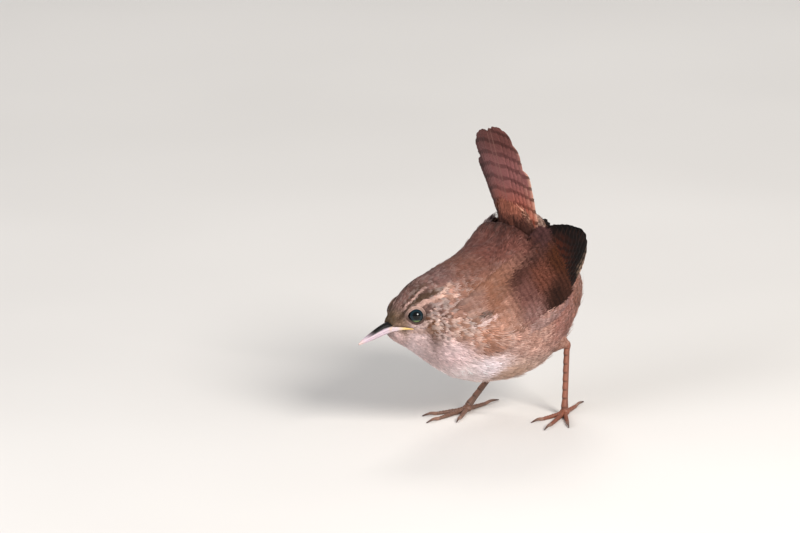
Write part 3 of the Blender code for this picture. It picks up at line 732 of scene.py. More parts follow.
def growFeathers(pattern, lines, length, width, depth, ruffle, loose, rng):
    # Points and soft normals of every feather, each (feathers, points, 3), along the given lines
    count = len(length)
    shake = rng.normal(size=(3, count, pattern["barbs"]))[:, :, pattern["barb"]] * pattern["ends"] ** 1.3
    u = pattern["along"] + 0.05 * loose[:, None] * shake[0]
    c = (pattern["across"] + 0.11 * loose[:, None] * shake[1]) * width[:, None] / 2
    place = sampled(lines["points"], u)
    out = unit(sampled(lines["outs"], np.minimum(u, 1)))
    side = unit(sampled(lines["sides"], np.minimum(u, 1)))
    height = -depth[:, None] * (1 - np.clip(u, 0, 1)) ** 1.6 * 0.9
    height = height + ruffle[:, None] * length[:, None] * np.clip(u, 0, 1.2) ** 2
    height = height - 0.34 * pattern["across"] ** 2 * width[:, None] / 2
    height = height + pattern["lift"] * (1 - pattern["ends"]) + 0.10 * loose[:, None] * shake[2]
    height = height - 0.12 * pattern["ends"] - 0.10 * np.clip(u, 0, 1) ** 3
    points = place + side * c[..., None] + out * height[..., None]
    lean = pattern["across"] + 0.5 * (pattern["barb"] % 2 - 0.5)
    normals = unit(out + side * (0.45 * lean)[None, :, None])
    return points, normals


def scatter(candidates, spacing, rng):
    # Keeps candidates that stand at least their own spacing apart: an even, unordered cover
    order = rng.permutation(len(candidates))
    cell = float(np.max(spacing))
    keys = np.floor(candidates / cell).astype(int)
    filled, kept = {}, []
    around = [(i, j, k) for i in (-1, 0, 1) for j in (-1, 0, 1) for k in (-1, 0, 1)]
    places = candidates.tolist()
    keyRows = keys.tolist()
    for n in order.tolist():
        x, y, z = places[n]
        kx, ky, kz = keyRows[n]
        least = spacing[n] ** 2
        free = True
        for i, j, k in around:
            for px, py, pz in filled.get((kx + i, ky + j, kz + k), ()):
                if (x - px) ** 2 + (y - py) ** 2 + (z - pz) ** 2 < least:
                    free = False
                    break
            if not free:
                break
        if free:
            kept.append(n)
            filled.setdefault((kx, ky, kz), []).append((x, y, z))
    return np.array(sorted(kept))


coat = {
    "barbs": {"face": 12, "head": 16, "body": 26},
    "barPeriod": 1.5,  # millimetres from one dark bar to the next
    "density": 0.78,  # all root distances are multiplied by this
    "ruffleShare": 0.10,  # of the feathers stand out a little more
    "palest": 0.90,
    "rings": 560,  # rings of candidates for roots, and the distance between them round a ring
    "candidates": 0.22,
    "bakePatch": 0.003,  # each feather's width on the bake map
    "eyeClear": (2.10, 1.98, 2.02),  # from the eye's middle: root, tip and half way
}


def jittered(rng, first, second, reach):
    # A grid of places on a surface, each moved a little at random
    first, second = np.meshgrid(first, second)
    first = (first + rng.uniform(-reach[0], reach[0], first.shape)).ravel()
    second = (second + rng.uniform(-reach[1], reach[1], second.shape)).ravel()
    return first, second


def turnOut(lines, facing):
    # Turns the feathers' outer faces to where facing is positive
    lines["outs"] = lines["outs"] * np.where(facing < 0, -1, 1)
    ways = np.gradient(lines["points"], axis=1)
    lines["sides"] = unit(np.cross(unit(ways), lines["outs"]))


def evenLooks(length, width, depth, bars, mottle, tip):
    # The same columns as a region's numbers, from feather length onwards
    ones = np.ones(len(length))
    return np.column_stack([length, ones * width, ones, ones * depth, ones * bars, ones * mottle, ones * tip])


def coatRoots(rng):
    # Candidates evenly over the surface, then thinned to each region's own distance
    rows = []
    for share in np.linspace(0.004, 0.975, coat["rings"]):
        ring = bodyPoint(np.full(48, share), np.arange(48) * math.pi / 24)
        around = np.linalg.norm(np.diff(np.vstack([ring, ring[:1]]), axis=0), axis=1).sum()
        count = max(6, int(around / coat["candidates"]))
        angles = (np.arange(count) + rng.random(count)) * 2 * math.pi / count - math.pi
        rows.append(np.column_stack([share + rng.normal(size=count) * 0.0009, angles]))
    rows = np.vstack(rows)
    share, angle = np.clip(rows[:, 0], 0.003, 0.98), rows[:, 1]
    spacing = regionAt(share, angle)[:, 5] * coat["density"]
    kept = scatter(bodyPoint(share, angle), spacing, rng)
    return share[kept], angle[kept]


def lieOf(share, angle):
    # How far the coat turns off straight back, in radians, towards the underside where positive
    lie = 0.10 * np.sin(np.abs(angle)) * (share < 0.5)
    lie = lie - 0.22 * eased((share - 0.62) / 0.2) * np.sin(np.abs(angle))
    return lie * np.sign(angle)


def clearOfEyes(root, tip):
    keep = np.ones(len(root), bool)
    for side in (-1, 1):
        _, _, across, _ = eyeFrame(side)
        centre, axis = eyePlace(side)
        for place, least in zip((root, tip, (root + tip) / 2), coat["eyeClear"]):
            away = place - shift - centre
            away = away - (away @ axis)[:, None] * axis
            out = np.linalg.norm(away, axis=1)
            corner = 0.40 * np.maximum((away @ across) / np.maximum(out, 0.1), 0) ** 9
            keep &= (out > least + corner) | ((place - shift - centre) @ axis < 0)
    return keep


def clearOfBill(points):
    # points is (feathers, steps, 3): the bill's base and the corners of the mouth stay bare
    pitch = math.radians(bill["pitch"])
    away = (points[:, -1] - shift - np.array(bill["tip"])) @ np.array([math.cos(pitch), 0, math.sin(pitch)])
    keep = away > bill["bareLength"]
    for side in (-1, 1):
        line, half = gapeLine(side, np.linspace(0, 1, 26), 0.0)
        gap = np.linalg.norm(points[:, :, None, :] - line[None, None], axis=-1) - half * 0.85
        keep &= gap.min(axis=(1, 2)) > 0.05
    return keep


def wingCoordinates(points):
    tilt = math.radians(wings["tilt"])
    x = points[..., 0] - shift[0] - wings["wrist"][0]
    z = points[..., 2] - wings["wrist"][1]
    return x * math.cos(tilt) + z * math.sin(tilt), z * math.cos(tilt) - x * math.sin(tilt)


levels = {"along": -12, "across": -16, "step": 0.5, "columns": 120, "rows": 70, "fall": 0.4}


def levelPlace(along, across):
    return (along - levels["along"]) / levels["step"], (across - levels["across"]) / levels["step"]


def makeLevels():
    # On a grid of the wing's plane: how far the body stands out from it, and its share and angle there
    share, angle = np.meshgrid(np.linspace(0.12, 0.98, 400), np.radians(np.linspace(3, 160, 340)))
    share, angle = share.ravel(), angle.ravel()
    points = bodyPoint(share, angle)
    along, across = wingCoordinates(points)
    here, normal = wingOut(along, across)
    level = (points[:, 1] - shift[1] - here[:, 1]) / np.maximum(normal[:, 1], 0.35)
    values = np.column_stack([level, share, angle])
    size = (levels["columns"], levels["rows"])
    grid, count = np.zeros((*size, 3)), np.zeros(size)
    i, j = (np.round(place).astype(int) for place in levelPlace(along, across))
    inside = (i >= 0) & (i < size[0]) & (j >= 0) & (j < size[1])
    np.add.at(grid, (i[inside], j[inside]), values[inside])
    np.add.at(count, (i[inside], j[inside]), 1)
    known = count > 0
    grid[known] /= count[known][:, None]
    for _ in range(60):  # beyond the body's outline the level falls away
        total, near = np.zeros_like(grid), np.zeros_like(count)
        for di, dj in ((0, 1), (0, -1), (1, 0), (-1, 0)):
            total += np.roll(grid * known[..., None], (di, dj), (0, 1))
            near += np.roll(known, (di, dj), (0, 1))
        fresh = ~known & (near > 0)
        grid[fresh] = total[fresh] / near[fresh][:, None] - [levels["fall"], 0, 0]
        known = known | fresh
    return grid


def bodyBeside(along, across):
    # The body's level, share and angle under each place of the wing's plane
    if "levels" not in wings:
        wings["levels"] = makeLevels()
    grid = wings["levels"]
    i, j = levelPlace(along, across)
    i = np.clip(i, 0, levels["columns"] - 1.1)
    j = np.clip(j, 0, levels["rows"] - 1.1)
    i0, j0 = i.astype(int), j.astype(int)
    fi, fj = (i - i0)[..., None], (j - j0)[..., None]
    found = (grid[i0, j0] * (1 - fi) * (1 - fj) + grid[i0 + 1, j0] * fi * (1 - fj)
             + grid[i0, j0 + 1] * (1 - fi) * fj + grid[i0 + 1, j0 + 1] * fi * fj)
    return found[..., 0], found[..., 1], found[..., 2]


def wingSink(side, along, across):
    # the far wing is held closer to the back
    deepest = wings["farSink"] if side > 0 else wings["nearSink"]
    return deepest * eased((across - 0.5) / 5.0) * (1 - eased((along - 16) / 14))


def coverLift(side, along, across):
    # How far the feathers over the wing's front and edges stand out from the body's own surface
    rise = 2.0 + 0.085 * (across + 4.0) + 0.07 * np.maximum(along - 13.0, 0) - wingSink(side, along, across)
    share = eased((along + 2) / 10.0) * (1 - eased((across - 7.4 - 0.10 * along) / 3.2))
    share = share * eased((across + 8.5) / 3.8)
    return np.maximum(rise - bodyBeside(along, across)[0], 0) * share


def underWing(points):
    # True where the folded wing hides the body's own coat
    along, across = wingCoordinates(points)
    lower = -3.4 - 1.0 * eased((along - 14) / 10)
    upper = 6.0 + 2.8 * eased((along - 5) / 12) - 0.10 * np.maximum(along - 26, 0)
    return (along > 5.5) & (along < 36) & (across > lower) & (across < upper)


def overWing(points):
    # How far the body's coat has to stand out for its feathers to lie over the wing's edges
    along, across = wingCoordinates(points)
    lift = np.where(points[..., 1] > shift[1], coverLift(1, along, across), coverLift(-1, along, across))
    return np.clip(lift, 0, wings["mostLift"]) * (1 - eased((along - 23.0) / 8.0))


def featherColours(pattern, colour, mottle, bars, tip, rng):
    # Each feather has a tone of its own, a darker base, and barbs that differ a little
    count, size = len(colour), len(pattern["along"])
    tone = np.exp(rng.normal(size=count) * mottle)[:, None]
    grade = 0.58 + 0.52 * np.clip(pattern["along"], 0, 1)[None, :] ** 1.3
    each = np.exp(rng.normal(size=(count, pattern["barbs"]))[:, pattern["barb"]] * 0.07)
    rows = colour[:, None, :] * (tone * grade * each)[..., None]
    ends = pattern["ends"][None, :]
    middle = (1 - np.clip(np.abs(pattern["across"]), 0, 1))[None, :]
    flecked = rng.random(count) < 0.26 + 0.26 * tip
    pale = np.clip(tip, 0, 1)[:, None] * flecked[:, None]
    pale = pale * (0.25 + 0.75 * middle) * (0.3 + 0.7 * ends)
    pale = (pale * (pattern["along"] > 0.3))[..., None] * 0.8
    rows = rows * (1 - pale) + linear("#f0dcd4") * np.clip(0.6 + 0.4 * tone, 0, 1)[..., None] * pale
    dark = (np.clip(-tip, 0, 1)[:, None] * rng.random(count)[:, None] * ends * 0.9)[..., None]
    rows = rows * (1 - dark) + colour[:, None, :] * np.array([0.50, 0.38, 0.32]) * dark
    rows = np.clip(rows, 0.004, coat["palest"])
    return np.concatenate([rows, np.broadcast_to(bars[:, None, None], (count, size, 1))], axis=2)


def coatPiece(name, pattern, grown, colours, bar, place, material, slot):
    # place is each root on the unwrapped surface, where the feather is a small patch
    points, normals = grown
    count, size = points.shape[:2]
    faces = (pattern["faces"][None] + (np.arange(count) * size)[:, None, None]).reshape(-1, 3)
    local = [np.clip(pattern["across"], -1, 1) * 0.5, np.clip(pattern["along"], 0, 1) - 0.5]
    local = np.stack(local, -1) * coat["bakePatch"]
    bake = np.stack(place, -1)[:, None, :] * 0.98 + 0.01 + local[None]
    piece = newPiece(
        name, points.reshape(-1, 3), faces, material,
        {"plume": colours.reshape(-1, 4)}, {"bar": bar.reshape(-1)}, bake.reshape(-1, 2),
    )
    piece.data.normals_split_custom_set_from_vertices(normals.reshape(-1, 3))
    print(name, len(faces), "triangles")
    return finished(piece, slot)


def coatFeathers(name, kind, lines, pick, looks, colour, place, bodyLength, material, slot, rng, loosen=1.0):
    # One coat piece: looks are the region's numbers from feather length onwards
    pattern = featherPattern(coat["barbs"][kind])
    lines = {key: rows[pick] for key, rows in lines.items()}
    length, width, depth, bars, mottle, tip = (looks[pick, i] for i in (0, 1, 3, 4, 5, 6))
    count = len(pick)
    ruffle = np.where(rng.random(count) < coat["ruffleShare"], 0.07, 0.015) * rng.random(count) * loosen
    loose = (0.6 + 0.8 * rng.random(count)) * loosen
    grown = growFeathers(pattern, lines, length, width, depth, ruffle, loose, rng)
    bar = bodyLength[pick, None] + pattern["along"] * length[:, None]
    bar = bar / coat["barPeriod"] + rng.normal(size=count)[:, None] * 0.16
    colours = featherColours(pattern, colour[pick], mottle, bars * rng.uniform(0.6, 1.0, count), tip, rng)
    return coatPiece(name, pattern, grown, colours, bar, [rows[pick] for rows in place], material, slot)


# Shares of the body's length where its coat is parted, and angles from the top where its sides are
partedAt = {"face": 0.15, "head": 0.375, "neck": 0.47, "torso": 0.73, "top": 1.1, "sides": 1.75}


def makeBodyCoat(material):
    rng = np.random.default_rng(11)
    share, angle = coatRoots(rng)
    looks = regionAt(share, angle)[:, 3:]
    looks[:, 0] *= rng.uniform(0.85, 1.15, len(share))
    lie = lieOf(share, angle) + rng.normal(size=len(share)) * 0.12
    longest = (1.005 - share) * trunk["length"]  # the last feathers don't reach past the rump
    looks[:, 0] = np.minimum(looks[:, 0], np.maximum(longest, 2.6))
    lines = followSurface(bodyPoint, share, angle, lie, looks[:, 0], (0.004, 0.01), (0.004, 0.985))
    lines["points"] = lines["points"] + lines["outs"] * overWing(lines["points"])[..., None]
    colour, _ = markings(lines["u"][:, 4], lines["v"][:, 4])
    keep = clearOfEyes(lines["points"][:, 0], lines["points"][:, 5]) & ~underWing(lines["points"][:, 4])
    front = np.flatnonzero(share < 0.26)
    keep[front] &= clearOfBill(lines["points"][front])
    top = np.abs(angle) < partedAt["top"]
    high = np.abs(angle) < partedAt["sides"]
    face, rump = share < partedAt["face"], share >= partedAt["torso"]
    head = ~face & (share < partedAt["head"])
    neck = (share >= partedAt["head"]) & (share < partedAt["neck"])
    torso = (share >= partedAt["neck"]) & ~rump
    regions = {  # where, kind of feather, slot, and how loose the feathers lie
        "coat_face": (face, "face", "crown_feathers", 1.0),
        "coat_crown": (head & top, "head", "crown_feathers", 1.0),
        "coat_cheeks": (head & ~top & high, "head", "crown_feathers", 1.0),
        "coat_throat": (head & ~high, "head", "crown_feathers", 1.3),
        "coat_nape": (neck & high, "body", "neck_feathers", 1.0),
        "coat_breast": (neck & ~high, "body", "neck_feathers", 1.7),
        "coat_back": (torso & high, "body", "torso_feathers", 1.0),
        "coat_belly": (torso & ~high, "body", "torso_feathers", 1.9),
        "coat_rump": (rump & high, "body", "rump_feathers", 1.5),
        "coat_vent": (rump & ~high, "body", "rump_feathers", 2.2),
    }
    place = (angle / (2 * math.pi) + 0.5, share)
    bodyLength = share * trunk["length"]
    for name, (mask, kind, slot, loosen) in regions.items():
        pick = np.flatnonzero(mask & keep)
        coatFeathers(name, kind, lines, pick, looks, colour, place, bodyLength, material, slot, rng, loosen)


# Eyes and lids
lids = {"thick": 0.115, "depth": 1.77, "corner": 0.46, "around": 72, "sides": 14}


def eyeFrame(side):
    centre, axis = eyePlace(side)
    across = unit(np.cross(axis, [0, 0, 1.0]))
    across = across if across[0] < 0 else -across
    up = np.cross(across, axis)
    return centre + shift, axis, across, up if up[2] > 0 else -up


def makeEyeball(name, side, material):
    centre, axis, _, up = eyeFrame(side)
    ball = addBall(np.zeros(3), eyes["radius"], 64, 48)
    ball.name = name
    turn = np.array(Vector(axis).to_track_quat("Z", "Y").to_matrix().to_4x4())[:3, :3]
    points = vertexPoints(ball.data) / mm
    out = np.hypot(points[:, 0], points[:, 1])
    front = points[:, 2] > 0
    cornea = eyes["cornea"] * (1 - eased(out / 1.5)) * front
    points *= (1 + cornea / eyes["radius"])[:, None]
    down = -points @ (turn.T @ up) / eyes["radius"]  # the iris's lower half gets a painted glint, for light gathered in it and reflected from the ground
    light = 0.75 * eased((down - 0.44) / 0.22) * (out < 1.75)
    iris = blend(linear(eyes["irisColourAndReflection"]), linear(eyes["irisPaintedGlint"]), light[:, None])
    colour = blend(linear(eyes["pupilColour"]), iris, eased((out - 0.86) / 0.30)[:, None])
    colour = blend(colour, linear(eyes["rimColour"]), eased((out - 1.55) / 0.22)[:, None])
    addAttribute(ball.data, "tone", "FLOAT_COLOR", "color", withAlpha(colour, 1))
    ball.data.vertices.foreach_set("co", ((points @ turn.T + centre) * mm).ravel())
    ball.data.materials.append(material)
    ball.data.shade_smooth()
    return ball


def makeLid(name, side, material):
    # A rim of bare lid that hugs the eyeball, drawn out to a point at its front corner
    centre, axis, across, up = eyeFrame(side)
    turn = np.arange(lids["around"]) * 2 * math.pi / lids["around"]
    radius = eyes["opening"] + lids["thick"] * 0.85 + lids["corner"] * np.maximum(np.cos(turn), 0) ** 9
    radius = radius - 0.10 * np.maximum(np.sin(turn), 0) ** 2  # the upper lid hangs a little lower
    out = np.cos(turn)[:, None] * across + np.sin(turn)[:, None] * up
    middle = centre + axis * lids["depth"] + out * radius[:, None]
    tube = np.arange(lids["sides"]) * 2 * math.pi / lids["sides"]
    wrinkle = 1 + 0.07 * np.sin(turn * 22)[:, None] * np.maximum(np.cos(tube), 0)[None]
    points = (
        middle[:, None, :]
        + out[:, None, :] * (lids["thick"] * 1.15 * np.cos(tube) * wrinkle)[..., None]
        + axis * (lids["thick"] * 1.25 * np.sin(tube) * wrinkle)[..., None]
    )
    index = np.arange(points.shape[0] * points.shape[1]).reshape(points.shape[:2])
    ahead, beside = np.roll(index, -1, axis=0), np.roll(index, -1, axis=1)
    both = np.roll(ahead, -1, axis=1)
    faces = np.stack([index, ahead, both, beside], -1).reshape(-1, 4)
    inner = eased(-np.cos(tube) * 1.4)
    pale = np.clip(0.8 * np.sin(turn) + 0.3, 0, 1)[:, None, None]
    colour = blend(linear("#3f312c"), linear("#a98b80"), pale) * (1 - 0.80 * inner[None, :, None])
    return tonePiece(name, points, faces, material, colour, "plume", 0)


eyeRing = {"count": 74, "tiers": ((1.93, 1.80), (2.04, 1.77)), "bakeRow": 20}  # tiers: radius, depth


def makeEyeRings(material):
    # The tiny feathers that stand round the lids, in two tiers
    rng = np.random.default_rng(17)
    pattern = featherPattern(8)
    rows = {"points": [], "outs": [], "sides": []}
    colours = []
    for side in (-1, 1):
        centre, axis, across, up = eyeFrame(side)
        for tier, (radius, deep) in enumerate(eyeRing["tiers"]):
            turn = (np.arange(eyeRing["count"]) + rng.random(eyeRing["count"]) * 0.8) * 2 * math.pi
            turn = turn / eyeRing["count"]
            out = np.cos(turn)[:, None] * across + np.sin(turn)[:, None] * up
            root = centre + axis * deep + out * (radius + 0.40 * np.maximum(np.cos(turn), 0) ** 9)[:, None]
            backward = -across * 0.75  # the ring's feathers are combed back and outwards
            way = unit(out + backward + axis * 0.05)
            normal = unit(axis * 0.9 + out * 0.35)
            normal = unit(normal - (normal * way).sum(1, keepdims=True) * way)
            f = np.linspace(0, 1, 6)[None, :, None] * (0.34 + 0.16 * tier)
            rows["points"].append(root[:, None] + way[:, None] * f - normal[:, None] * 0.12 * f**2)
            rows["outs"].append(np.repeat(normal[:, None], 6, 1))
            rows["sides"].append(np.repeat(np.cross(way, normal)[:, None], 6, 1))
            above = np.clip(np.sin(turn) * 0.9 + 0.18, 0, 1)[:, None]
            colours.append(blend(linear("#5a463f"), linear("#b9998d"), above))
    lines = {key: np.concatenate(value) for key, value in rows.items()}
    colour = np.concatenate(colours)
    count = len(colour)
    ones = np.ones(count)
    grown = growFeathers(pattern, lines, ones, ones * 0.5, ones * 0.10, ones * 0.02, ones * 0.6, rng)
    tones = featherColours(pattern, colour, ones * 0.08, ones * 0, ones * 0, rng)
    bar = np.zeros((count, len(pattern["along"])))
    number = np.arange(count)
    cells = eyeRing["bakeRow"]
    place = [cell / cells + 0.02 for cell in (number % cells, number // cells)]
    return coatPiece("coat_eye_rings", pattern, grown, tones, bar, place, material, "crown_feathers")


# Wings
wings = {
    "wrist": (-20.0, 28.6),
    "tilt": 20.5,
    "nearSink": 0.3,  # how far each wing's upper part is pressed into the back
    "farSink": 2.4,
    "mostLift": 4.7,  # of the body's coat over the wing's edges
    "primaryColour": "#4a1f0f",
    "secondaryColour": "#4e2213",
    "tertialColour": "#4a2416",
    "primaryTips": [
        (34.4, -3.6), (38.4, -3.2), (41.4, -2.5), (43.5, -1.5),
        (44.7, -0.4), (45.2, 0.8), (44.6, 2.0), (43.2, 3.1),
    ],
    "secondaryTips": [(41.9, 4.2), (40.6, 5.1), (39.0, 6.0), (37.1, 6.9), (35.0, 7.7)],
    "tertialTips": [(32.6, 8.4), (29.8, 8.9), (26.6, 9.1)],
    "barPeriod": 2.1,
}


def wingSurface(along, across):
    tilt = math.radians(wings["tilt"])
    over = across + 5.0
    return stacked(
        wings["wrist"][0] + along * math.cos(tilt) - across * math.sin(tilt),
        15.0 - 0.0072 * (along - 13.0) ** 2 - 0.28 * over - 0.012 * over * np.abs(over),
        wings["wrist"][1] + along * math.sin(tilt) + across * math.cos(tilt),
    )


def wingOut(along, across):
    here = wingSurface(along, across)
    normal = unit(np.cross(wingSurface(along + 0.2, across) - here, wingSurface(along, across + 0.2) - here))
    return here, normal * np.where(normal[..., 1:2] < 0, -1, 1)


def wingPlace(side, sunk=True):
    def place(along, across, out):
        here, normal = wingOut(along, across)
        out = out - wingSink(side, along, across) if sunk else out
        point = here + normal * out[..., None]
        point[..., 1] *= side
        return point + shift
    return place


def makeVane(place, root, tip, width, lift, rng, bow=0.0, outerShare=0.5, blunt=0.72, thick=0.16,
             rows=46, columns=9, camber=0.25, fray=0.05):
    # A flight feather as a thin closed leaf with a raised shaft and a slightly frayed rim
    root, tip = np.array(root, float), np.array(tip, float)
    run = tip - root
    length = np.linalg.norm(run)
    sideways = np.array([-run[1], run[0]]) / length
    f = 1 - (1 - np.linspace(0, 1, rows)) ** 1.25
    g = np.linspace(-1, 1, columns)
    g = np.sign(g) * np.abs(g) ** 0.85
    shape = np.minimum(1.0, 0.45 + 1.6 * f)
    shape = shape * np.sqrt(np.maximum(0.0, 1 - np.maximum(0.0, (f - blunt) / (1.004 - blunt)) ** 2.4))
    full = np.maximum(width * shape, 0.08)
    edge = 1 + fray * rng.normal(size=(rows, 2)) * (f[:, None] > 0.25)
    low, high = full * outerShare * edge[:, 0], full * (1 - outerShare) * edge[:, 1]
    across = np.where(g[None] < 0, g[None] * low[:, None], g[None] * high[:, None])
    sweep = 0.30 * np.abs(across) * (1 - f[:, None] ** 6)
    middle = root + run * f[:, None] + sideways * (bow * np.sin(math.pi * f))[:, None]
    flat = middle[:, None, :] + sideways * across[..., None] + (run / length) * sweep[..., None] * 0.4
    lifted = lift[0] + (lift[1] - lift[0]) * f[:, None] - camber * np.abs(g)[None] ** 2 * shape[:, None] * 0.6
    shaft = 0.10 * np.exp(-((across / 0.16) ** 2)) * (1 - 0.8 * f[:, None])
    wall = thick * (1 - 0.55 * np.abs(g)[None] ** 2) * (1 - 0.4 * f[:, None])
    upper = place(flat[..., 0], flat[..., 1], lifted + wall + shaft)
    lower = place(flat[..., 0], flat[..., 1], lifted + np.zeros_like(wall))
    points = np.concatenate([upper, lower[:, ::-1]], axis=1)
    ring = 2 * columns
    index = np.arange(rows * ring).reshape(rows, ring)
    beside = np.roll(index, -1, 1)
    faces = np.stack([index[:-1], beside[:-1], beside[1:], index[1:]], -1).reshape(-1, 4)
    gg = np.concatenate([g, g[::-1]])
    web = np.broadcast_to(gg, (rows, ring))
    alongMm = np.broadcast_to((f * length)[:, None], (rows, ring))
    acrossMm = np.concatenate([across, across[:, ::-1]], axis=1)
    under = np.broadcast_to(np.repeat([0.0, 1.0], columns), (rows, ring))
    caps = [list(index[0, ::-1]), list(index[-1])]
    return {
        "points": points.reshape(-1, 3), "faces": faces, "caps": caps, "web": web.ravel(),
        "along": alongMm.ravel(), "across": acrossMm.ravel(), "under": under.ravel(),
        "f": np.broadcast_to(f[:, None], (rows, ring)).ravel(), "length": length,
        "flat": np.concatenate([flat, flat[:, ::-1]], axis=1).reshape(-1, 2),
    }


def vanePiece(name, vanes, material, flip):
    # Joins vanes, and lays each on its own cell of the bake map
    points, faces, colour, bar, web, barb, rim, bake = [], [], [], [], [], [], [], []
    start = 0
    side = math.ceil(math.sqrt(len(vanes)))
    for number, vane in enumerate(vanes):
        rows = vane["faces"] + start
        caps = [[i + start for i in cap] for cap in vane["caps"]]
        if flip:
            rows = rows[:, ::-1]
            caps = [cap[::-1] for cap in caps]
        faces += rows.tolist() + caps
        start += len(vane["points"])
        points.append(vane["points"])
        tone = np.broadcast_to(vane["colour"], (len(vane["points"]), 3))
        tone = tone * (1 - 0.35 * vane["under"])[:, None]
        tone = tone + vane["pale"] * vane["under"][:, None] * np.array([1, 0.85, 0.8])
        edge = vane["rim"] * eased((vane["web"] * vane["outer"] - 0.62) / 0.28)
        strength = vane["bars"] * (0.75 + 0.25 * vane["web"] * vane["outer"])
        colour.append(np.column_stack([tone, strength + (1 - strength) * edge]))
        rim.append(edge)
        curved = vane["along"] - vane.get("scallop", 0) * vane["across"] ** 2
        bar.append(curved / vane["period"] + vane["phase"])
        web.append(vane["web"])
        barb.append(vane["along"] + 0.8 * np.abs(vane["across"]))
        u = (vane["web"] * 0.5 + 0.5) * 0.44 + 0.03 + 0.5 * vane["under"]
        v = 0.03 + 0.94 * vane["f"]
        bake.append(np.column_stack([(u + number % side) / side, (v + number // side) / side]))
    piece = newPiece(
        name, np.vstack(points), faces, material, {"plume": np.vstack(colour)},
        {"bar": np.concatenate(bar), "web": np.concatenate(web), "barb": np.concatenate(barb),
         "rim": np.concatenate(rim)}, np.vstack(bake),
    )
    print(name, sum(len(f) - 2 for f in faces), "triangles")
    return piece


def wingVanes(side, rng):
    place = wingPlace(side)
    vanes = []

    def add(root, tip, width, lift, colour, bars, rim=0.0, **more):
        vane = makeVane(place, root, tip, width, lift, rng, **more)
        far, high = vane["flat"][:, 0], vane["flat"][:, 1]
        # painted shade: the colour darkens towards the wing's tip, partly the feathers' own dark colour; the
        # top edge, which lies in shadow, is painted nearly black; the lower rear edge is darker too
        shadowedTopEdge = 11.0 - 0.035 * np.maximum(far - 24, 0) ** 1.75
        shade = (1 - 0.93 * eased((far - 23) / 17)) * (1 - 0.86 * eased((high - shadowedTopEdge + 3.8) / 2.8))
        shade = shade * (1 - 0.66 * eased((2.5 - high) / 4.5) * eased((far - 12) / 6))
        if side > 0:  # painted light: its inner face, in the shadow of the tail, is painted lighter, so that it reads brown to the edge
            shade = np.where(vane["under"] > 0.5, np.maximum(shade, 1.4 * (1 - eased((far - 26) / 8))), shade)
        tone = linear(colour) * math.exp(rng.normal() * 0.05) * shade[:, None]
        notches = eased((far - 34.5) / 2.5) + 0.55 * (1 - eased((far - 27) / 4))
        vane.update(
            colour=tone, bars=bars, period=wings["barPeriod"], phase=rng.uniform(-0.1, 0.1),
            rim=rim * notches, outer=-1, scallop=0.15,
            # the far wing's inner face also gets a painted lift of paler brown near its base
            pale=0.015 + 0.035 * (side > 0) * (1 - eased((far - 26) / 6))[:, None],
        )
        vanes.append(vane)

    for i, tip in enumerate(wings["primaryTips"]):
        root = (7.0 + 0.8 * i, -3.8 + 0.5 * i)
        rim = max(0.0, 1 - 0.22 * i)
        lift = (0.12 * i, 0.27 * i)
        add(root, tip, 4.8, lift, wings["primaryColour"], 0.75, rim, bow=-0.9, outerShare=0.32)
    for i, tip in enumerate(wings["secondaryTips"]):
        root = (13.0 + i, -0.2 + 0.9 * i)
        lift = (0.9 + 0.15 * i, 2.1 + 0.27 * i)
        add(root, tip, 5.2, lift, wings["secondaryColour"], 0.75, bow=-0.6, outerShare=0.38)
    for i, tip in enumerate(wings["tertialTips"]):
        root = (17.0 - 0.8 * i, 4.4 + 0.7 * i)
        lift = (1.9 + 0.2 * i, 3.3 + 0.3 * i)
        add(root, tip, 5.6, lift, wings["tertialColour"], 0.7, bow=-0.3)
        if side > 0:  # painted highlight: a fine pale edge along the far wing's upper rim over the back
            vanes[-1].update(rim=0.85, outer=1, bars=0.0)
    rows = (  # primary coverts, then greater coverts
        (7, (8.0, -5.0), (11.5, -2.6), 13.0, 2.6, (0.15, 0.95), 0.0, "#4f2f24", 0.45),
        (10, (11.5, -3.0), (17.0, 6.3), 11.0, 3.4, (0.8, 2.1), 1.0, "#5a3628", 0.5),
    )
    for count, first, last, length, width, lift, droop, colour, bars in rows:
        for i in range(count):
            f = i / (count - 1)
            root = (first[0] + (last[0] - first[0]) * f, first[1] + (last[1] - first[1]) * f)
            tip = (root[0] + length * (1 + 0.05 * math.sin(2.3 * i)), root[1] + droop * (1 - 0.5 * f))
            rise = 0.54 * f
            raised = (lift[0] + rise, lift[1] + rise)
            add(root, tip, width, raised, colour, bars, rows=24, columns=7, fray=0.08)
    return vanes


shoulder = {
    "along": (-2.5, 26.5, 0.24),  # from, to and step, in mm on the wing
    "across": (-5.0, 11.6, 0.24),
    "jitter": (0.12, 0.12),
    "spacing": 0.60,
    # colour of a painted highlight along the far wing's upper rim
    "farEdgeHighlight": "#b9a29f",
}


def shoulderSurface(side):
    # The small coverts and scapulars: they leave the body at the wrist and lie over the vanes behind
    place = wingPlace(side, False)

    def surface(along, across):
        return place(along, across, bodyBeside(along, across)[0] + coverLift(side, along, across) + 0.10)
    return surface


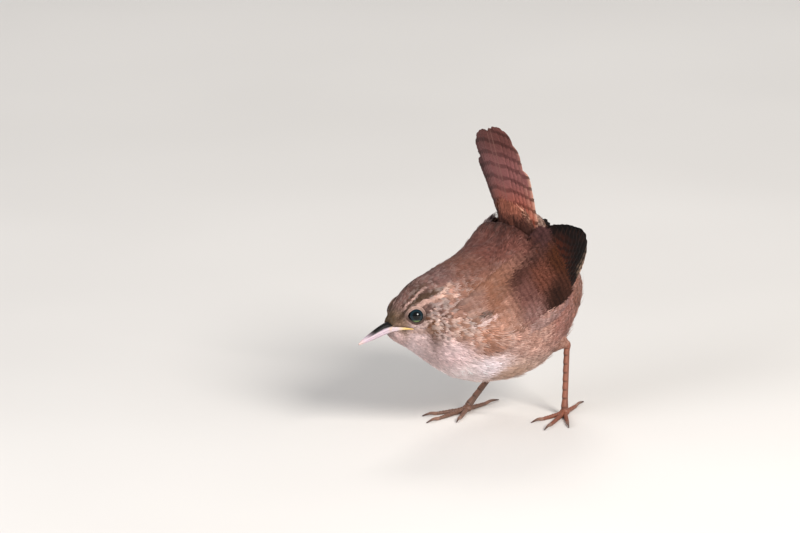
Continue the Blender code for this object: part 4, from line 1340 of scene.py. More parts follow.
shoulderRows = {
    # along and across the wing in mm, colour, feather length, width, bars, tip
    "wrist": (-1.0, 2.0, "#7d5f52", 3.8, 2.0, 0.2, 0.4),
    "foreEdge": (6.0, -4.0, "#704f40", 3.8, 2.0, 0.3, 0.4),
    "lesser": (7.0, 1.0, "#9a7060", 3.8, 2.2, 0.4, 0.2),
    "scapularFore": (6.0, 8.0, "#412b20", 5.6, 2.8, 0.3, 0.1),
    "lowerMiddle": (14.0, -3.0, "#7b5953", 4.2, 2.4, 0.6, 0.2),
    "middle": (14.0, 2.0, "#613f39", 4.8, 2.7, 0.6, -0.3),
    "scapularMid": (14.0, 8.0, "#3c201a", 7.0, 3.2, 0.5, 0.0),
    "lowerRear": (22.0, -3.0, "#2c170f", 4.4, 2.8, 0.9, -0.3),
    "rear": (21.0, 3.0, "#61382b", 4.6, 3.2, 1.0, -0.5),
    "scapularRear": (21.0, 9.0, "#3c231d", 6.0, 3.0, 0.8, -0.4),
    "rearMost": (28.0, 4.0, "#40200f", 4.6, 3.0, 1.0, -0.5),
    # painted shade: the coat along the wing's top rear edge is painted dark, for the shadow it lies in
    "rearTopShaded": (27.0, 10.5, "#422928", 6.4, 3.0, 0.6, 0.0),
}


def upperEdge(side, along):
    # where the small coverts end over the back; those of the far wing end a little lower
    return 8.2 + 0.116 * along if side < 0 else np.minimum(8.1 + 0.113 * along, 10.5)


def shoulderLooks(side, along, across):
    # The wing's own looks, which fade into the body's at the wrist and over the back
    rows = np.array([(a, b, *linear(hexColour), *rest) for a, b, hexColour, *rest in shoulderRows.values()])
    gap = (along[:, None] + 2.5 - rows[:, 0]) ** 2 + (across[:, None] - rows[:, 1]) ** 2
    looks = nearestLooks(gap, rows[:, 2:], 2.0)
    _, share, angle = bodyBeside(along, across)
    bodyColour, _ = markings(share, side * angle)
    own = eased((along - 2.0) / 9.0) * (1 - eased((across - 5.5 - 0.08 * along) / 3.0))
    own = np.maximum(own, eased((along - 15) / 8))
    looks[:, :3] = blend(bodyColour, looks[:, :3], own[:, None])
    if side > 0:  # painted highlight: a pale edge along the far wing's upper rim over the back
        pale = 0.5 * eased((across - upperEdge(side, along) + 0.75) / 0.4) * eased((along - 12) / 3)
        looks[:, :3] = blend(looks[:, :3], linear(shoulder["farEdgeHighlight"]), pale[:, None])
        looks[:, 4] *= 1 - 0.3 * pale
    return looks


def makeShoulderCoat(name, side, material):
    rng = np.random.default_rng(41)
    along, across = jittered(
        rng, np.arange(*shoulder["along"]), np.arange(*shoulder["across"]), shoulder["jitter"]
    )
    lowest = -4.4 + 0.75 * np.maximum(6.5 - along, 0)
    inside = (across > lowest) & (across < upperEdge(side, along))
    inside = inside & (along < 27.2 - 0.25 * np.abs(across - 4.5))
    along, across = along[inside], across[inside]
    surface = shoulderSurface(side)
    kept = scatter(surface(along, across), np.full(len(along), shoulder["spacing"]), rng)
    along, across = along[kept], across[kept]
    looks = shoulderLooks(side, along, across)
    count = len(along)
    length = looks[:, 3] * rng.uniform(0.88, 1.12, count)
    lie = rng.normal(size=count) * 0.09 - 0.10
    lines = followSurface(surface, along, across, lie, length, (0.1, 0.1), (-4.0, 60.0))
    turnOut(lines, lines["outs"][..., 1:2] * side + 1.1 * lines["outs"][..., 2:3])
    colour = looks[:, :3]
    looks = evenLooks(length, looks[:, 4], 1.1, looks[:, 5], 0.10, looks[:, 6])
    place = ((across + 8) / 22, (along + 4) / 30)
    coatFeathers(
        name, "body", lines, np.arange(count), looks, colour, place, along, material,
        "wing_feathers", rng, 0.8,
    )


# Tail
tail = {
    "root": (3.7, 0.0, 44.0),
    "lean": 13.0,
    "swing": 1.5,
    "roof": 10.0,
    "lengths": (34.0, 34.0, 33.4, 32.4, 30.4, 24.5),
    "nearLengths": (35.0, 35.6, 35.6, 34.8, 31.0, 23.6),  # on the left, held a little further out
    "nearRims": (0.0, 0.0, 0.0, 0.05, 0.3, 0.85),  # how pale each near feather's edge is
    "width": 4.3,
    "barPeriod": 3.5,
    "colour": "#7a4d4b",
    "baseColour": "#9a5340",
    "tipColour": "#5c3733",
    # colour of the painted shade on the far half of the tail
    "farShadeColour": "#3f2a2a",
}


def tailPlace(along, across, out):
    lean = math.radians(tail["lean"])
    roof = math.radians(tail["roof"]) * (1 - 0.9 * np.clip(along / tail["lengths"][0], 0, 1))
    way = np.array([-math.sin(lean), 0, math.cos(lean)])
    upper = np.array([-math.cos(lean), 0, -math.sin(lean)])
    raised = out - np.sqrt(across**2 + 1.5) * np.sin(roof) + 0.0012 * along**2
    point = np.array(tail["root"]) + along[..., None] * way + raised[..., None] * upper
    point[..., 1] += across * np.cos(roof) + along * math.sin(math.radians(tail["swing"]))
    return point + shift


def tailVanes(rng):
    vanes = []
    for side in (-1, 1):
        for k, length in reversed(list(enumerate(tail["lengths"] if side > 0 else tail["nearLengths"]))):
            root = (0.0, side * (0.5 + 0.74 * k))
            tip = (length, side * (0.8 + 1.24 * k))
            lower = 0.0 if side < 0 else 0.14
            vane = makeVane(
                tailPlace, root, tip, tail["width"], (-0.34 * k - lower, -0.18 * k - lower), rng, rows=64,
                outerShare=0.5 - side * 0.12, blunt=0.88, camber=0.12, fray=0.03,
            )
            low = eased((21 - vane["along"]) / 14)[:, None]
            high = eased((vane["along"] - 24) / 8)[:, None]
            tone = blend(linear(tail["colour"]), linear(tail["baseColour"]), low)
            tone = blend(tone, linear(tail["tipColour"]), high)
            # painted shade: the far half's outer feathers are painted darker, for the shade they lie in
            if side > 0:
                tone = tone + (linear(tail["farShadeColour"]) - tone) * (0.2 * k) * 0.85
            vane.update(
                colour=tone * math.exp(rng.normal() * 0.06), bars=0.55, period=tail["barPeriod"],
                phase=0.12 * k, outer=side, pale=0.10, rim=tail["nearRims"][k] if side < 0 else 0.0,
            )
            vanes.append(vane)
    return vanes


tailSwell = {
    "from": -6.0,
    "halfWidth": 7.4,
    "halfDepth": 4.3,
    "sweep": 1.9,  # how far the feathers in front stand up to the tail
    "loose": 3.0,  # how far the under-tail coverts fill out behind
    "along": (-5.5, 7.5, 0.3),
    "around": 150,
    "jitter": (0.15, 0.02),
    "spacing": 0.62,
    "underColour": "#a9836f",
    "upperColour": "#9b5f4d",
    "baseColour": "#452b25",
}


def tailSwellSurface(along, angle, grow=0.0):
    # The mound of coverts round the tail's root; angle 0 faces the head, where the upper side is
    f = np.clip((along - tailSwell["from"]) / 20.0, 0, 1)
    halfWidth = tailSwell["halfWidth"] * np.sqrt(1 - 0.78 * f**2.5) + grow
    halfDepth = tailSwell["halfDepth"] * np.sqrt(1 - 0.96 * f**1.6) + grow
    middle = -2.6 + 1.6 * eased(f)
    sweep = tailSwell["sweep"] * eased((9.0 - along) / 8.0) * eased((np.cos(angle) + 0.3) / 1.1)
    loose = tailSwell["loose"] * eased(-np.cos(angle) / 0.9)
    # the under side closes on the tail, so that little of a hollow shows from above
    closing = np.where(np.cos(angle) < 0, 1 - eased((along - 6.5) / 6.0), 1.0)
    out = middle + (halfDepth * np.cos(angle) - loose) * closing + sweep
    return tailPlace(along, halfWidth * np.sin(angle), out)


def makeTailCoverts(material):
    rng = np.random.default_rng(51)
    turns = np.linspace(-math.pi, math.pi, tailSwell["around"], endpoint=False)
    along, angle = jittered(rng, np.arange(*tailSwell["along"]), turns, tailSwell["jitter"])
    kept = scatter(tailSwellSurface(along, angle), np.full(len(along), tailSwell["spacing"]), rng)
    along, angle = along[kept], angle[kept]
    count = len(along)
    upper = eased((np.cos(angle) + 0.35) / 0.7)[:, None]
    colour = blend(linear(tailSwell["underColour"]), linear(tailSwell["upperColour"]), upper)
    low = eased((6.2 - along) / 3.6)[:, None] * (0.35 + 0.65 * upper)
    colour = blend(colour, linear(tailSwell["baseColour"]), low)
    upper = upper[:, 0]
    length = rng.uniform(0.7, 1.3, count) * (5.4 + 1.6 * upper)
    length = np.minimum(length, 13.0 + 2.5 * upper - along)
    lie = rng.normal(size=count) * 0.10
    lines = followSurface(tailSwellSurface, along, angle, lie, length, (0.1, 0.02), (-5.9, 12.5))
    away = lines["points"] - tailSwellSurface(along, angle, -2.0)[:, None]
    turnOut(lines, (away * lines["outs"]).sum(-1, keepdims=True))
    looks = evenLooks(length, 2.2, 1.2, 0.35 + 0.4 * (1 - upper), 0.16, 0.7 * (1 - upper))
    place = (angle / (2 * math.pi) + 0.5, (along + 6) / 20)
    coatFeathers(
        "coat_tail_coverts", "body", lines, np.arange(count), looks, colour, place, along, material,
        "rump_feathers", rng, 1.8,
    )


# Legs
thigh = {
    # distance from the hip, and radius
    "rows": [(0.0, 5.2), (3.0, 4.9), (6.5, 4.2), (9.5, 3.1), (12.0, 2.1), (14.0, 1.35), (15.4, 1.0)],
    "step": 0.25,
    "around": 120,
    "jitter": (0.12, 0.03),
    "spacing": 0.72,
    "colour": "#a07464",
}
toes = (  # name, degrees from straight ahead, length, length of the claw
    ("inner", -27.0, 8.0, 3.6),
    ("middle", 1.0, 11.5, 4.2),
    ("outer", 25.0, 9.0, 3.6),
    ("hind", 178.0, 7.6, 5.4),
)
foot = {
    "toeRadius": 0.68,
    "flat": 0.16,  # how far each toe's underside lies below the floor, where it is cut level
    "shankRings": 150,
    "shankScutes": 10,
    "toeRings": 96,
    "sides": 22,
    "ballRadius": 1.30,
    "clawRings": 30,
    "clawSides": 16,
}


def thighSurface(leg):
    _, heel, hip = legPoints(leg)
    way = unit(heel - hip)
    across = unit(np.cross(way, [1.0, 0, 0]))
    ahead = np.cross(across, way)
    reach = np.linalg.norm(heel - hip)
    rows = np.array(thigh["rows"])

    def surface(down, angle):
        radius = np.interp(down * rows[-1, 0] / reach, rows[:, 0], rows[:, 1])
        centre = hip + way * down[..., None]
        sideways = across * (radius * np.cos(angle))[..., None]
        return centre + sideways + ahead * (radius * np.sin(angle))[..., None] + shift
    return surface, reach


def makeThighCoat(name, leg, material):
    rng = np.random.default_rng(61)
    surface, reach = thighSurface(leg)
    turns = np.linspace(-math.pi, math.pi, thigh["around"], endpoint=False)
    down, angle = jittered(rng, np.arange(1.5, reach - 1.6, thigh["step"]), turns, thigh["jitter"])
    kept = scatter(surface(down, angle), np.full(len(down), thigh["spacing"]), rng)
    down, angle = down[kept], angle[kept]
    count = len(down)
    length = rng.uniform(0.85, 1.15, count) * (4.6 - 2.2 * eased(down / reach))
    lie = rng.normal(size=count) * 0.12
    lines = followSurface(surface, down, angle, lie, length, (0.1, 0.02), (0.1, reach - 0.4))
    _, heel, hip = legPoints(leg)
    core = hip + unit(heel - hip) * down[:, None] + shift
    turnOut(lines, ((lines["points"] - core[:, None]) * lines["outs"]).sum(-1, keepdims=True))
    colour = np.broadcast_to(linear(thigh["colour"]), (count, 3))
    looks = evenLooks(length, 1.7, 0.8, 0.5, 0.14, 0.3)
    place = (angle / (2 * math.pi) + 0.5, down / reach)
    coatFeathers(
        name, "head", lines, np.arange(count), looks, colour, place, down, material,
        "thigh_feathers", rng, 2.0,
    )


def limbRings(centres, radii, front):
    # Rings round a line of centres; radii is (rings, sides), and side 0 faces front
    ways = unit(np.gradient(centres, axis=0))
    ahead = unit(front - (ways @ front)[:, None] * ways)
    beside = np.cross(ways, ahead)
    angle = np.arange(radii.shape[1]) * 2 * math.pi / radii.shape[1]
    ring = ahead[:, None] * np.cos(angle)[None, :, None] + beside[:, None] * np.sin(angle)[None, :, None]
    return centres[:, None] + ring * radii[..., None]


def scuteSteps(f, count, sharp=0.72):
    # A row of overlapping plates: each swells slowly and ends in a step
    part = (f * count) % 1.0
    return np.where(part < sharp, part / sharp, 1 - (part - sharp) / (1 - sharp))


def toeWay(leg, turn):
    heading = math.radians(leg["turn"] + turn)
    return np.array([-math.cos(heading), leg["side"] * math.sin(heading), 0.0])


def makeShank(leg, angle):
    # Broad scutes in front, and smooth behind
    footPlace, heel, hip = legPoints(leg)
    shin, thighWay = unit(heel - footPlace), unit(hip - heel)
    f = np.linspace(0, 1, foot["shankRings"])
    route = [heel + thighWay * 2.4, heel + thighWay * 0.9, heel - shin * 0.5]
    route += [heel + (footPlace - heel) * (0.12 + 0.86 * k / 6) for k in range(7)]
    radius = 0.74 + 0.38 * np.exp(-(((f - 0.18) / 0.07) ** 2)) + 0.16 * np.exp(-((f / 0.12) ** 2))
    radius = radius + 0.20 * eased((f - 0.86) / 0.14)
    frontal = np.maximum(np.cos(angle), 0) ** 0.6
    steps = scuteSteps(f + 0.02, foot["shankScutes"])
    shaped = radius[:, None] * (1 + 0.10 * np.cos(2 * angle))[None] + 0.13 * steps[:, None] * frontal[None]
    tube = limbRings(splineRows(route, f), shaped, np.array([-1.0, 0.05 * leg["side"], 0.0]))
    between = ((f + 0.02) * foot["shankScutes"]) % 1.0 - 0.90
    groove = 1 - 0.62 * np.exp(-(between / 0.11) ** 2)[:, None] * frontal[None]
    # painted light and shade: the shank's front is painted lighter and its back darker, and it darkens
    # towards the foot; the grooves between the scutes are dark joints
    shade = groove * (0.88 + 0.22 * np.cos(angle))[None] * (1 - 0.18 * eased((f - 0.75) / 0.25))[:, None]
    return tube, shade


def makeFootBall(leg, angle):
    theta = np.linspace(0.02, math.pi - 0.02, 26)[:, None]
    out = foot["ballRadius"] * np.sin(theta)
    ball = stacked(out * np.cos(angle), out * np.sin(angle), 1.0 * np.cos(theta) - 0.30)
    return legPoints(leg)[0] + ball, np.full(ball.shape[:2], 0.92)


def makeToe(leg, angle, turn, length):
    # Small scutes above, and soft pads under the joints
    footPlace, way = legPoints(leg)[0], toeWay(leg, turn)
    f = np.linspace(0, 1, foot["toeRings"])
    radius = foot["toeRadius"] * (1 - 0.28 * f)
    middle = footPlace[None, :2] + way[None, :2] * (length * f)[:, None]
    height = radius - foot["flat"] + 0.35 * (1 - f) ** 8 + 0.12 * np.sin(math.pi * f * 3) ** 2 * (1 - f)
    upward = np.maximum(np.cos(angle), 0) ** 0.6
    downward = np.maximum(-np.cos(angle), 0)
    count = round(length * 1.15)
    pads = np.abs(np.sin(math.pi * f * 3.5)) ** 0.5
    shaped = radius[:, None] * (0.90 + 0.10 * pads[:, None] * downward[None])
    shaped = shaped + 0.10 * scuteSteps(f, count)[:, None] * upward[None]
    shaped = shaped * np.sqrt(np.clip(1 - np.maximum(0, (f - 0.93) / 0.075) ** 2, 0.05, 1))[:, None]
    tube = limbRings(np.column_stack([middle, height]), shaped, np.array([0, 0, 1.0]))
    groove = 1 - 0.42 * np.exp(-(((f * count) % 1.0 - 0.93) / 0.08) ** 2)[:, None] * upward[None]
    # painted light and shade: each toe's top is painted lighter than its sides and underside, and it darkens
    # towards the tip; the grooves between the scutes are dark joints
    return tube, groove * (0.86 + 0.18 * upward)[None] * (1 - 0.15 * f)[:, None]


def makeLeg(name, leg, material, tone):
    angle = np.arange(foot["sides"]) * 2 * math.pi / foot["sides"]
    tubes = [makeShank(leg, angle), makeFootBall(leg, angle)]
    tubes += [makeToe(leg, angle, turn, length) for _, turn, length, _ in toes]
    points, faces, colours = joinedTubes([(rings, tone * shade[..., None]) for rings, shade in tubes])
    return tonePiece("leg_" + name, points + shift, faces, material, colours)


def makeClaws(name, leg, material):
    footPlace = legPoints(leg)[0]
    angle = np.arange(foot["clawSides"]) * 2 * math.pi / foot["clawSides"]
    f = np.linspace(0, 1, foot["clawRings"])
    colour = blend(linear("#8a6a5c"), linear("#4a3630"), eased(f * 1.1)[:, None, None])
    tubes = []
    for _, turn, length, clawLength in toes:
        way = toeWay(leg, turn)
        endRadius = foot["toeRadius"] * 0.72
        end = np.array([*(footPlace[:2] + way[:2] * length), endRadius - foot["flat"]])
        base = end - way * 0.25
        reach = clawLength + 0.55
        route = [base, base + way * reach * 0.38 + [0, 0, 0.30], base + way * reach * 0.72 + [0, 0, 0.10]]
        route.append(np.array([*(base[:2] + way[:2] * reach), 0.16]))
        thick = endRadius * 0.80 * (1 - f) ** 0.62 * (1 - 0.15 * f) + 0.04
        shaped = thick[:, None] * (1 + 0.22 * np.cos(2 * angle))[None]  # deeper than wide
        tubes.append((limbRings(splineRows(route, f), shaped, np.array([0, 0, 1.0])), colour))
    points, faces, colours = joinedTubes(tubes)
    return tonePiece("claws_" + name, points + shift, faces, material, colours)


# Materials
def barNodes(tree, colourOut, barOut, strengthOut, dark, threshold=0.25, soft=0.22, wobble=0.55, scale=900.0):
    # Darkens colour where the bar number is near a whole, bent by a little noise
    place = addNode(tree, "ShaderNodeTexCoord").outputs["Object"]
    noise = addNode(tree, "ShaderNodeTexNoise", {}, {"Vector": place, "Scale": scale, "Detail": 2.0})
    bent = addNode(
        tree, "ShaderNodeMath", {"operation": "MULTIPLY_ADD"}, {0: noise.outputs["Fac"], 1: wobble, 2: barOut}
    )
    turn = addNode(tree, "ShaderNodeMath", {"operation": "MULTIPLY"}, {0: bent.outputs[0], 1: 2 * math.pi})
    wave = addNode(tree, "ShaderNodeMath", {"operation": "COSINE"}, {0: turn.outputs[0]})
    band = addNode(
        tree, "ShaderNodeMapRange", {"interpolation_type": "SMOOTHSTEP"},
        {"Value": wave.outputs[0], "From Min": threshold - soft, "From Max": threshold + soft},
    )
    amount = addNode(tree, "ShaderNodeMath", {"operation": "MULTIPLY"}, {0: band.outputs[0], 1: strengthOut})
    darker = addNode(
        tree, "ShaderNodeMix", {"data_type": "RGBA", "blend_type": "MULTIPLY"},
        {"Factor": 1.0, 6: colourOut, 7: (dark, dark * 0.85, dark * 0.8, 1)},
    )
    return addNode(
        tree, "ShaderNodeMix", {"data_type": "RGBA"},
        {"Factor": amount.outputs[0], 6: colourOut, 7: darker.outputs[2]},
    ).outputs[2]


def shadeNodes(tree, colour, fac, low, high):
    # Makes colour darker and lighter by fac, from low to high
    spread = addNode(tree, "ShaderNodeMapRange", {}, {"Value": fac, "To Min": low, "To Max": high})
    return addNode(
        tree, "ShaderNodeVectorMath", {"operation": "SCALE"}, {0: colour, "Scale": spread.outputs[0]}
    ).outputs[0]


barbSpacing = 0.3  # millimetres, coarser than real barbs, so that they show


def makePlumageMaterial():
    # Keratin barbs of body feathers: matt, soft, with a faint sheen at a grazing look
    made, tree, shader = newMaterial("contour feather keratin", {
        "Roughness": 0.72, "IOR": 1.5, "Specular IOR Level": 0.10,
        "Sheen Weight": 0.02, "Sheen Roughness": 0.5,
    })
    plume = addNode(tree, "ShaderNodeAttribute", {"attribute_name": "plume"})
    bar = addNode(tree, "ShaderNodeAttribute", {"attribute_name": "bar"})
    colour = barNodes(tree, plume.outputs["Color"], bar.outputs["Fac"], plume.outputs["Alpha"], 0.42)
    tree.links.new(colour, shader.inputs["Base Color"])
    return made


def makeVaneMaterial(name, rimColour, shaftColour, dark, threshold, soft):
    # Flight feather: close-set barbs, satin, with barred webs and, on the outer ones, a pale rim
    made, tree, shader = newMaterial(name, {
        "Roughness": 0.62, "IOR": 1.5, "Specular IOR Level": 0.09,
        "Sheen Weight": 0.01, "Sheen Roughness": 0.4,
    })
    plume, bar, web, barb, rim = (
        addNode(tree, "ShaderNodeAttribute", {"attribute_name": key})
        for key in ("plume", "bar", "web", "barb", "rim")
    )
    edged = addNode(
        tree, "ShaderNodeMix", {"data_type": "RGBA"},
        {"Factor": rim.outputs["Fac"], 6: plume.outputs["Color"], 7: (*linear(rimColour), 1)},
    ).outputs[2]
    strength = plume.outputs["Alpha"]
    colour = barNodes(tree, edged, bar.outputs["Fac"], strength, dark, threshold, soft, 0.32, 600.0)
    middle = addNode(tree, "ShaderNodeMath", {"operation": "ABSOLUTE"}, {0: web.outputs["Fac"]})
    shaft = addNode(
        tree, "ShaderNodeMapRange", {},
        {"Value": middle.outputs[0], "From Min": 0.03, "From Max": 0.10, "To Min": 0.6, "To Max": 0.0},
    )
    shafted = addNode(
        tree, "ShaderNodeMix", {"data_type": "RGBA"},
        {"Factor": shaft.outputs[0], 6: colour, 7: (*linear(shaftColour), 1)},
    ).outputs[2]
    # each barb differs a little from its neighbours
    barPlace = addNode(tree, "ShaderNodeCombineXYZ", {}, {"X": barb.outputs["Fac"], "Y": bar.outputs["Fac"]})
    streak = addNode(
        tree, "ShaderNodeTexNoise", {"noise_dimensions": "2D"},
        {"Vector": barPlace.outputs[0], "Scale": 3.2, "Detail": 2.0},
    )
    tree.links.new(shadeNodes(tree, shafted, streak.outputs["Fac"], 0.62, 1.38), shader.inputs["Base Color"])
    turns = 2 * math.pi / barbSpacing
    lines = addNode(tree, "ShaderNodeMath", {"operation": "MULTIPLY"}, {0: barb.outputs["Fac"], 1: turns})
    ridges = addNode(tree, "ShaderNodeMath", {"operation": "SINE"}, {0: lines.outputs[0]})
    bump = addNode(
        tree, "ShaderNodeBump", {}, {"Height": ridges.outputs[0], "Strength": 0.35, "Distance": 0.00004}
    )
    tree.links.new(bump.outputs[0], shader.inputs["Normal"])
    return made


def makeSkinMaterial():
    # Down and skin seen only in the gaps of the coat, matt and a shade darker than the feathers
    made, tree, shader = newMaterial("down over skin", {"Roughness": 0.9})
    plume = addNode(tree, "ShaderNodeAttribute", {"attribute_name": "plume"})
    place = addNode(tree, "ShaderNodeTexCoord").outputs["Object"]
    noise = addNode(tree, "ShaderNodeTexNoise", {}, {"Vector": place, "Scale": 2500.0, "Detail": 3.0})
    colour = shadeNodes(tree, plume.outputs["Color"], noise.outputs["Fac"], 0.7, 1.15)
    tree.links.new(colour, shader.inputs["Base Color"])
    return made


def makeHornMaterial():
    # Bill and claw horn: smooth keratin sheath, a soft shine with faint growth lines
    made, tree, shader = newMaterial("keratin horn", {
        "Roughness": 0.52, "IOR": 1.54, "Specular IOR Level": 0.18,
        "Coat Weight": 0.03, "Coat Roughness": 0.30,
        "Subsurface Weight": 0.12, "Subsurface Scale": 0.0008, "Subsurface Radius": (1.0, 0.55, 0.35),
    })
    tone = addNode(tree, "ShaderNodeAttribute", {"attribute_name": "tone"})
    place = addNode(tree, "ShaderNodeTexCoord").outputs["Object"]
    long = addNode(tree, "ShaderNodeMapping", {}, {"Vector": place, "Scale": (700.0, 3200.0, 3200.0)})
    noise = addNode(tree, "ShaderNodeTexNoise", {}, {"Vector": long.outputs[0], "Scale": 1.0, "Detail": 3.0})
    colour = shadeNodes(tree, tone.outputs["Color"], noise.outputs["Fac"], 0.84, 1.08)
    tree.links.new(colour, shader.inputs["Base Color"])
    bump = addNode(
        tree, "ShaderNodeBump", {}, {"Height": noise.outputs["Fac"], "Strength": 0.25, "Distance": 0.00005}
    )
    tree.links.new(bump.outputs[0], shader.inputs["Normal"])
    return made


def makeEyeMaterial():
    # A wet eyeball: nearly black iris and pupil under a clear, glossy front
    made, tree, shader = newMaterial("wet eye", {
        "Roughness": 0.06, "IOR": 1.38, "Specular IOR Level": 0.2,
        "Coat Weight": 0.45, "Coat Roughness": 0.02,
    })
    tone = addNode(tree, "ShaderNodeAttribute", {"attribute_name": "tone"})
    place = addNode(tree, "ShaderNodeTexCoord").outputs["Object"]
    noise = addNode(tree, "ShaderNodeTexNoise", {}, {"Vector": place, "Scale": 4000.0, "Detail": 2.0})
    colour = shadeNodes(tree, tone.outputs["Color"], noise.outputs["Fac"], 0.7, 1.3)
    tree.links.new(colour, shader.inputs["Base Color"])
    return made


def makeLegMaterial():
    # Thin horny scales over flesh: satin, warm, with fine pores between the scutes
    made, tree, shader = newMaterial("scaled leg skin", {
        "Roughness": 0.48, "IOR": 1.5,
        "Subsurface Weight": 0.10, "Subsurface Scale": 0.0006, "Subsurface Radius": (1.0, 0.4, 0.25),
    })
    tone = addNode(tree, "ShaderNodeAttribute", {"attribute_name": "tone"})
    place = addNode(tree, "ShaderNodeTexCoord").outputs["Object"]
    cells = addNode(
        tree, "ShaderNodeTexVoronoi", {"feature": "DISTANCE_TO_EDGE"}, {"Vector": place, "Scale": 3400.0}
    )
    seams = addNode(
        tree, "ShaderNodeMapRange", {}, {"Value": cells.outputs["Distance"], "From Max": 0.12, "To Min": 0.78}
    )
    noise = addNode(tree, "ShaderNodeTexNoise", {}, {"Vector": place, "Scale": 900.0, "Detail": 3.0})
    blotch = addNode(
        tree, "ShaderNodeMapRange", {}, {"Value": noise.outputs["Fac"], "To Min": 0.72, "To Max": 1.25}
    )
    both = addNode(
        tree, "ShaderNodeMath", {"operation": "MULTIPLY"}, {0: seams.outputs[0], 1: blotch.outputs[0]}
    )
    colour = addNode(
        tree, "ShaderNodeVectorMath", {"operation": "SCALE"},
        {0: tone.outputs["Color"], "Scale": both.outputs[0]},
    )
    tree.links.new(colour.outputs[0], shader.inputs["Base Color"])
    bump = addNode(
        tree, "ShaderNodeBump", {}, {"Height": seams.outputs[0], "Strength": 0.4, "Distance": 0.00004}
    )
    tree.links.new(bump.outputs[0], shader.inputs["Normal"])
    return made


# Floor, light and camera
view = {
    "turn": -43.0,  # degrees round the bird from straight on its left side
    "height": 15.0,
    "pixelsPerMm": 3.85,
    "middle": (505.0, 415.0),  # where the bird's own origin falls in the photo
    "distance": 2500.0,
}
lights = {
    # degrees round the bird from its left side, degrees up, distance and size in metres, power, colour
    "key": (-6, 33, 0.8, 0.34, 8.6, (1.0, 0.96, 0.92)),
    "fill": (-95, 20, 0.8, 0.5, 4.4, (0.97, 0.97, 1.0)),
    "rim": (140, 45, 0.8, 0.3, 2.0, (1.0, 0.97, 0.93)),
}


def viewAxes():
    turn = math.radians(view["turn"])
    back = wayFrom(view["turn"], view["height"])
    right = np.array([math.cos(turn), math.sin(turn), 0.0])
    return back, right, np.cross(back, right)


def makeCamera():
    back, right, up = viewAxes()
    scale = view["pixelsPerMm"]
    target = shift + right * (photoSize[0] / 2 - view["middle"][0]) / scale
    target = target + up * (view["middle"][1] - photoSize[1] / 2) / scale
    data = bpy.data.cameras.new("camera")
    data.sensor_width = 36.0
    data.lens = 36.0 * view["distance"] / (photoSize[0] / scale)
    data.clip_end = 20.0
    camera = bpy.data.objects.new("camera", data)
    bpy.context.scene.collection.objects.link(camera)
    camera.location = (target + back * view["distance"]) * mm
    camera.rotation_euler = Vector(back).to_track_quat("Z", "Y").to_euler()
    bpy.context.scene.camera = camera


def makeLight(name, turn, height, distance, size, power, colour):
    data = bpy.data.lights.new(name, "AREA")
    data.shape = "DISK"
    data.size = size
    data.energy = power
    data.color = colour
    light = bpy.data.objects.new(name, data)
    bpy.context.scene.collection.objects.link(light)
    way = Vector(wayFrom(turn, height))
    light.location = Vector((0, 0, 0.035)) + way * distance
    light.rotation_euler = way.to_track_quat("Z", "Y").to_euler()
    light.visible_glossy = name == "key"  # one highlight in the eye


def makeStudio():
    bpy.ops.mesh.primitive_plane_add(size=6.0, location=(0, 0, 0))
    floor = bpy.context.object
    floor.name = "studio_floor"
    made, tree, shader = newMaterial("painted floor", {"Roughness": 0.8})
    place = addNode(tree, "ShaderNodeTexCoord").outputs["Object"]
    noise = addNode(tree, "ShaderNodeTexNoise", {}, {"Vector": place, "Scale": 6.0, "Detail": 2.0})
    tone = addNode(tree, "ShaderNodeValToRGB", {}, {"Fac": noise.outputs["Fac"]},
                   ramp=[(0.3, "#cfccc8"), (0.7, "#d6d3cf")])
    tree.links.new(tone.outputs[0], shader.inputs["Base Color"])
    floor.data.materials.append(made)
    world = bpy.data.worlds.new("studio")
    bpy.context.scene.world = world
    world.use_nodes = True
    sky = world.node_tree.nodes["Background"]
    sky.inputs["Color"].default_value = (0.80, 0.82, 0.86, 1)
    sky.inputs["Strength"].default_value = 0.44
    for name, settings in lights.items():
        makeLight(name, *settings)
    bpy.context.scene.view_settings.view_transform = "Standard"


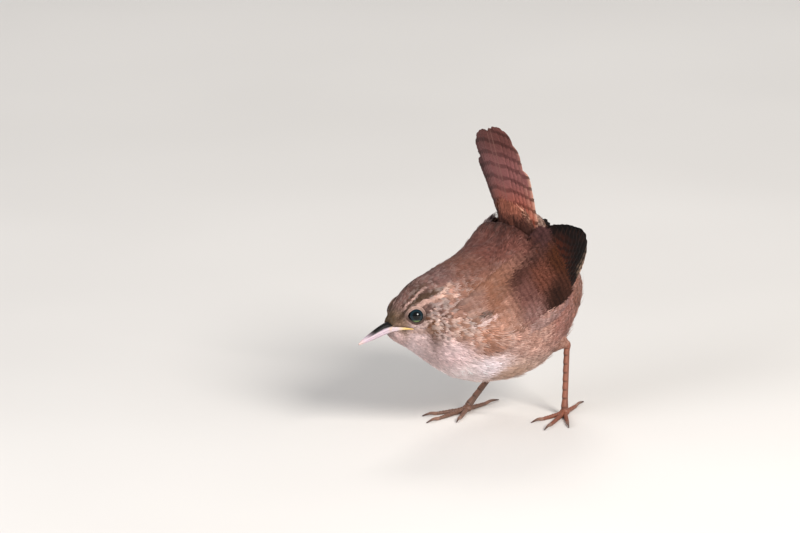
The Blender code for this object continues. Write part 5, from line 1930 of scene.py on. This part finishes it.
# Put together
def main():
    plumageMaterial = makePlumageMaterial()
    skinMaterial = makeSkinMaterial()
    skin = makeSkin(skinMaterial)
    selectOnly(makeLid("lid_left", -1, skinMaterial), makeLid("lid_right", 1, skinMaterial), skin)
    bpy.ops.object.join()
    bpy.ops.object.select_all(action="DESELECT")
    finished(skin, "torso_feathers", "head", "neck", "torso", "rump", "thigh_left", "thigh_right")
    print("skin made")
    makeBodyCoat(plumageMaterial)
    makeEyeRings(plumageMaterial)
    makeTailCoverts(plumageMaterial)
    print("coat made")
    wingMaterial = makeVaneMaterial("wing feather keratin", "#dcb59a", "#2c1a14", 0.14, 0.25, 0.45)
    eyeMaterial, hornMaterial, legMaterial = makeEyeMaterial(), makeHornMaterial(), makeLegMaterial()
    for side, name in ((-1, "left"), (1, "right")):
        vanes = wingVanes(side, np.random.default_rng(21))
        vanes = vanePiece("wing_vanes_" + name, vanes, wingMaterial, side < 0)
        finished(vanes, "wing_feathers", "wing_" + name)
        makeShoulderCoat("coat_wing_" + name, side, plumageMaterial)
        makeThighCoat("coat_thigh_" + name, legs[name], plumageMaterial)
        finished(makeEyeball("eyeball_" + name, side, eyeMaterial), "eye", "eye_" + name)
        tone = linear(legs[name]["tone"])
        finished(makeLeg(name, legs[name], legMaterial, tone), "leg_scales", "tarsus_" + name, "foot_" + name)
        clawNodes = [f"claw_{name}_{toe[0]}" for toe in toes]
        finished(makeClaws(name, legs[name], hornMaterial), "claw_horn", *clawNodes)
    tailMaterial = makeVaneMaterial("tail feather keratin", "#b98d7b", "#7d5a50", 0.16, 0.50, 0.35)
    vanes = vanePiece("tail_vanes", tailVanes(np.random.default_rng(31)), tailMaterial, True)
    finished(vanes, "tail_feathers", "tail")
    finished(makeMandible("bill_upper_horn", True, hornMaterial), "culmen_horn", "bill_upper")
    finished(makeMandible("bill_lower_horn", False, hornMaterial), "bill_horn", "bill_lower")
    finished(makeGape("gape_left", -1, hornMaterial), "bill_horn")
    finished(makeGape("gape_right", 1, hornMaterial), "bill_horn")
    print("wings, tail, bill, eyes and legs made")
    makeStudio()
    makeCamera()
    print("floor, light and camera made")


main()
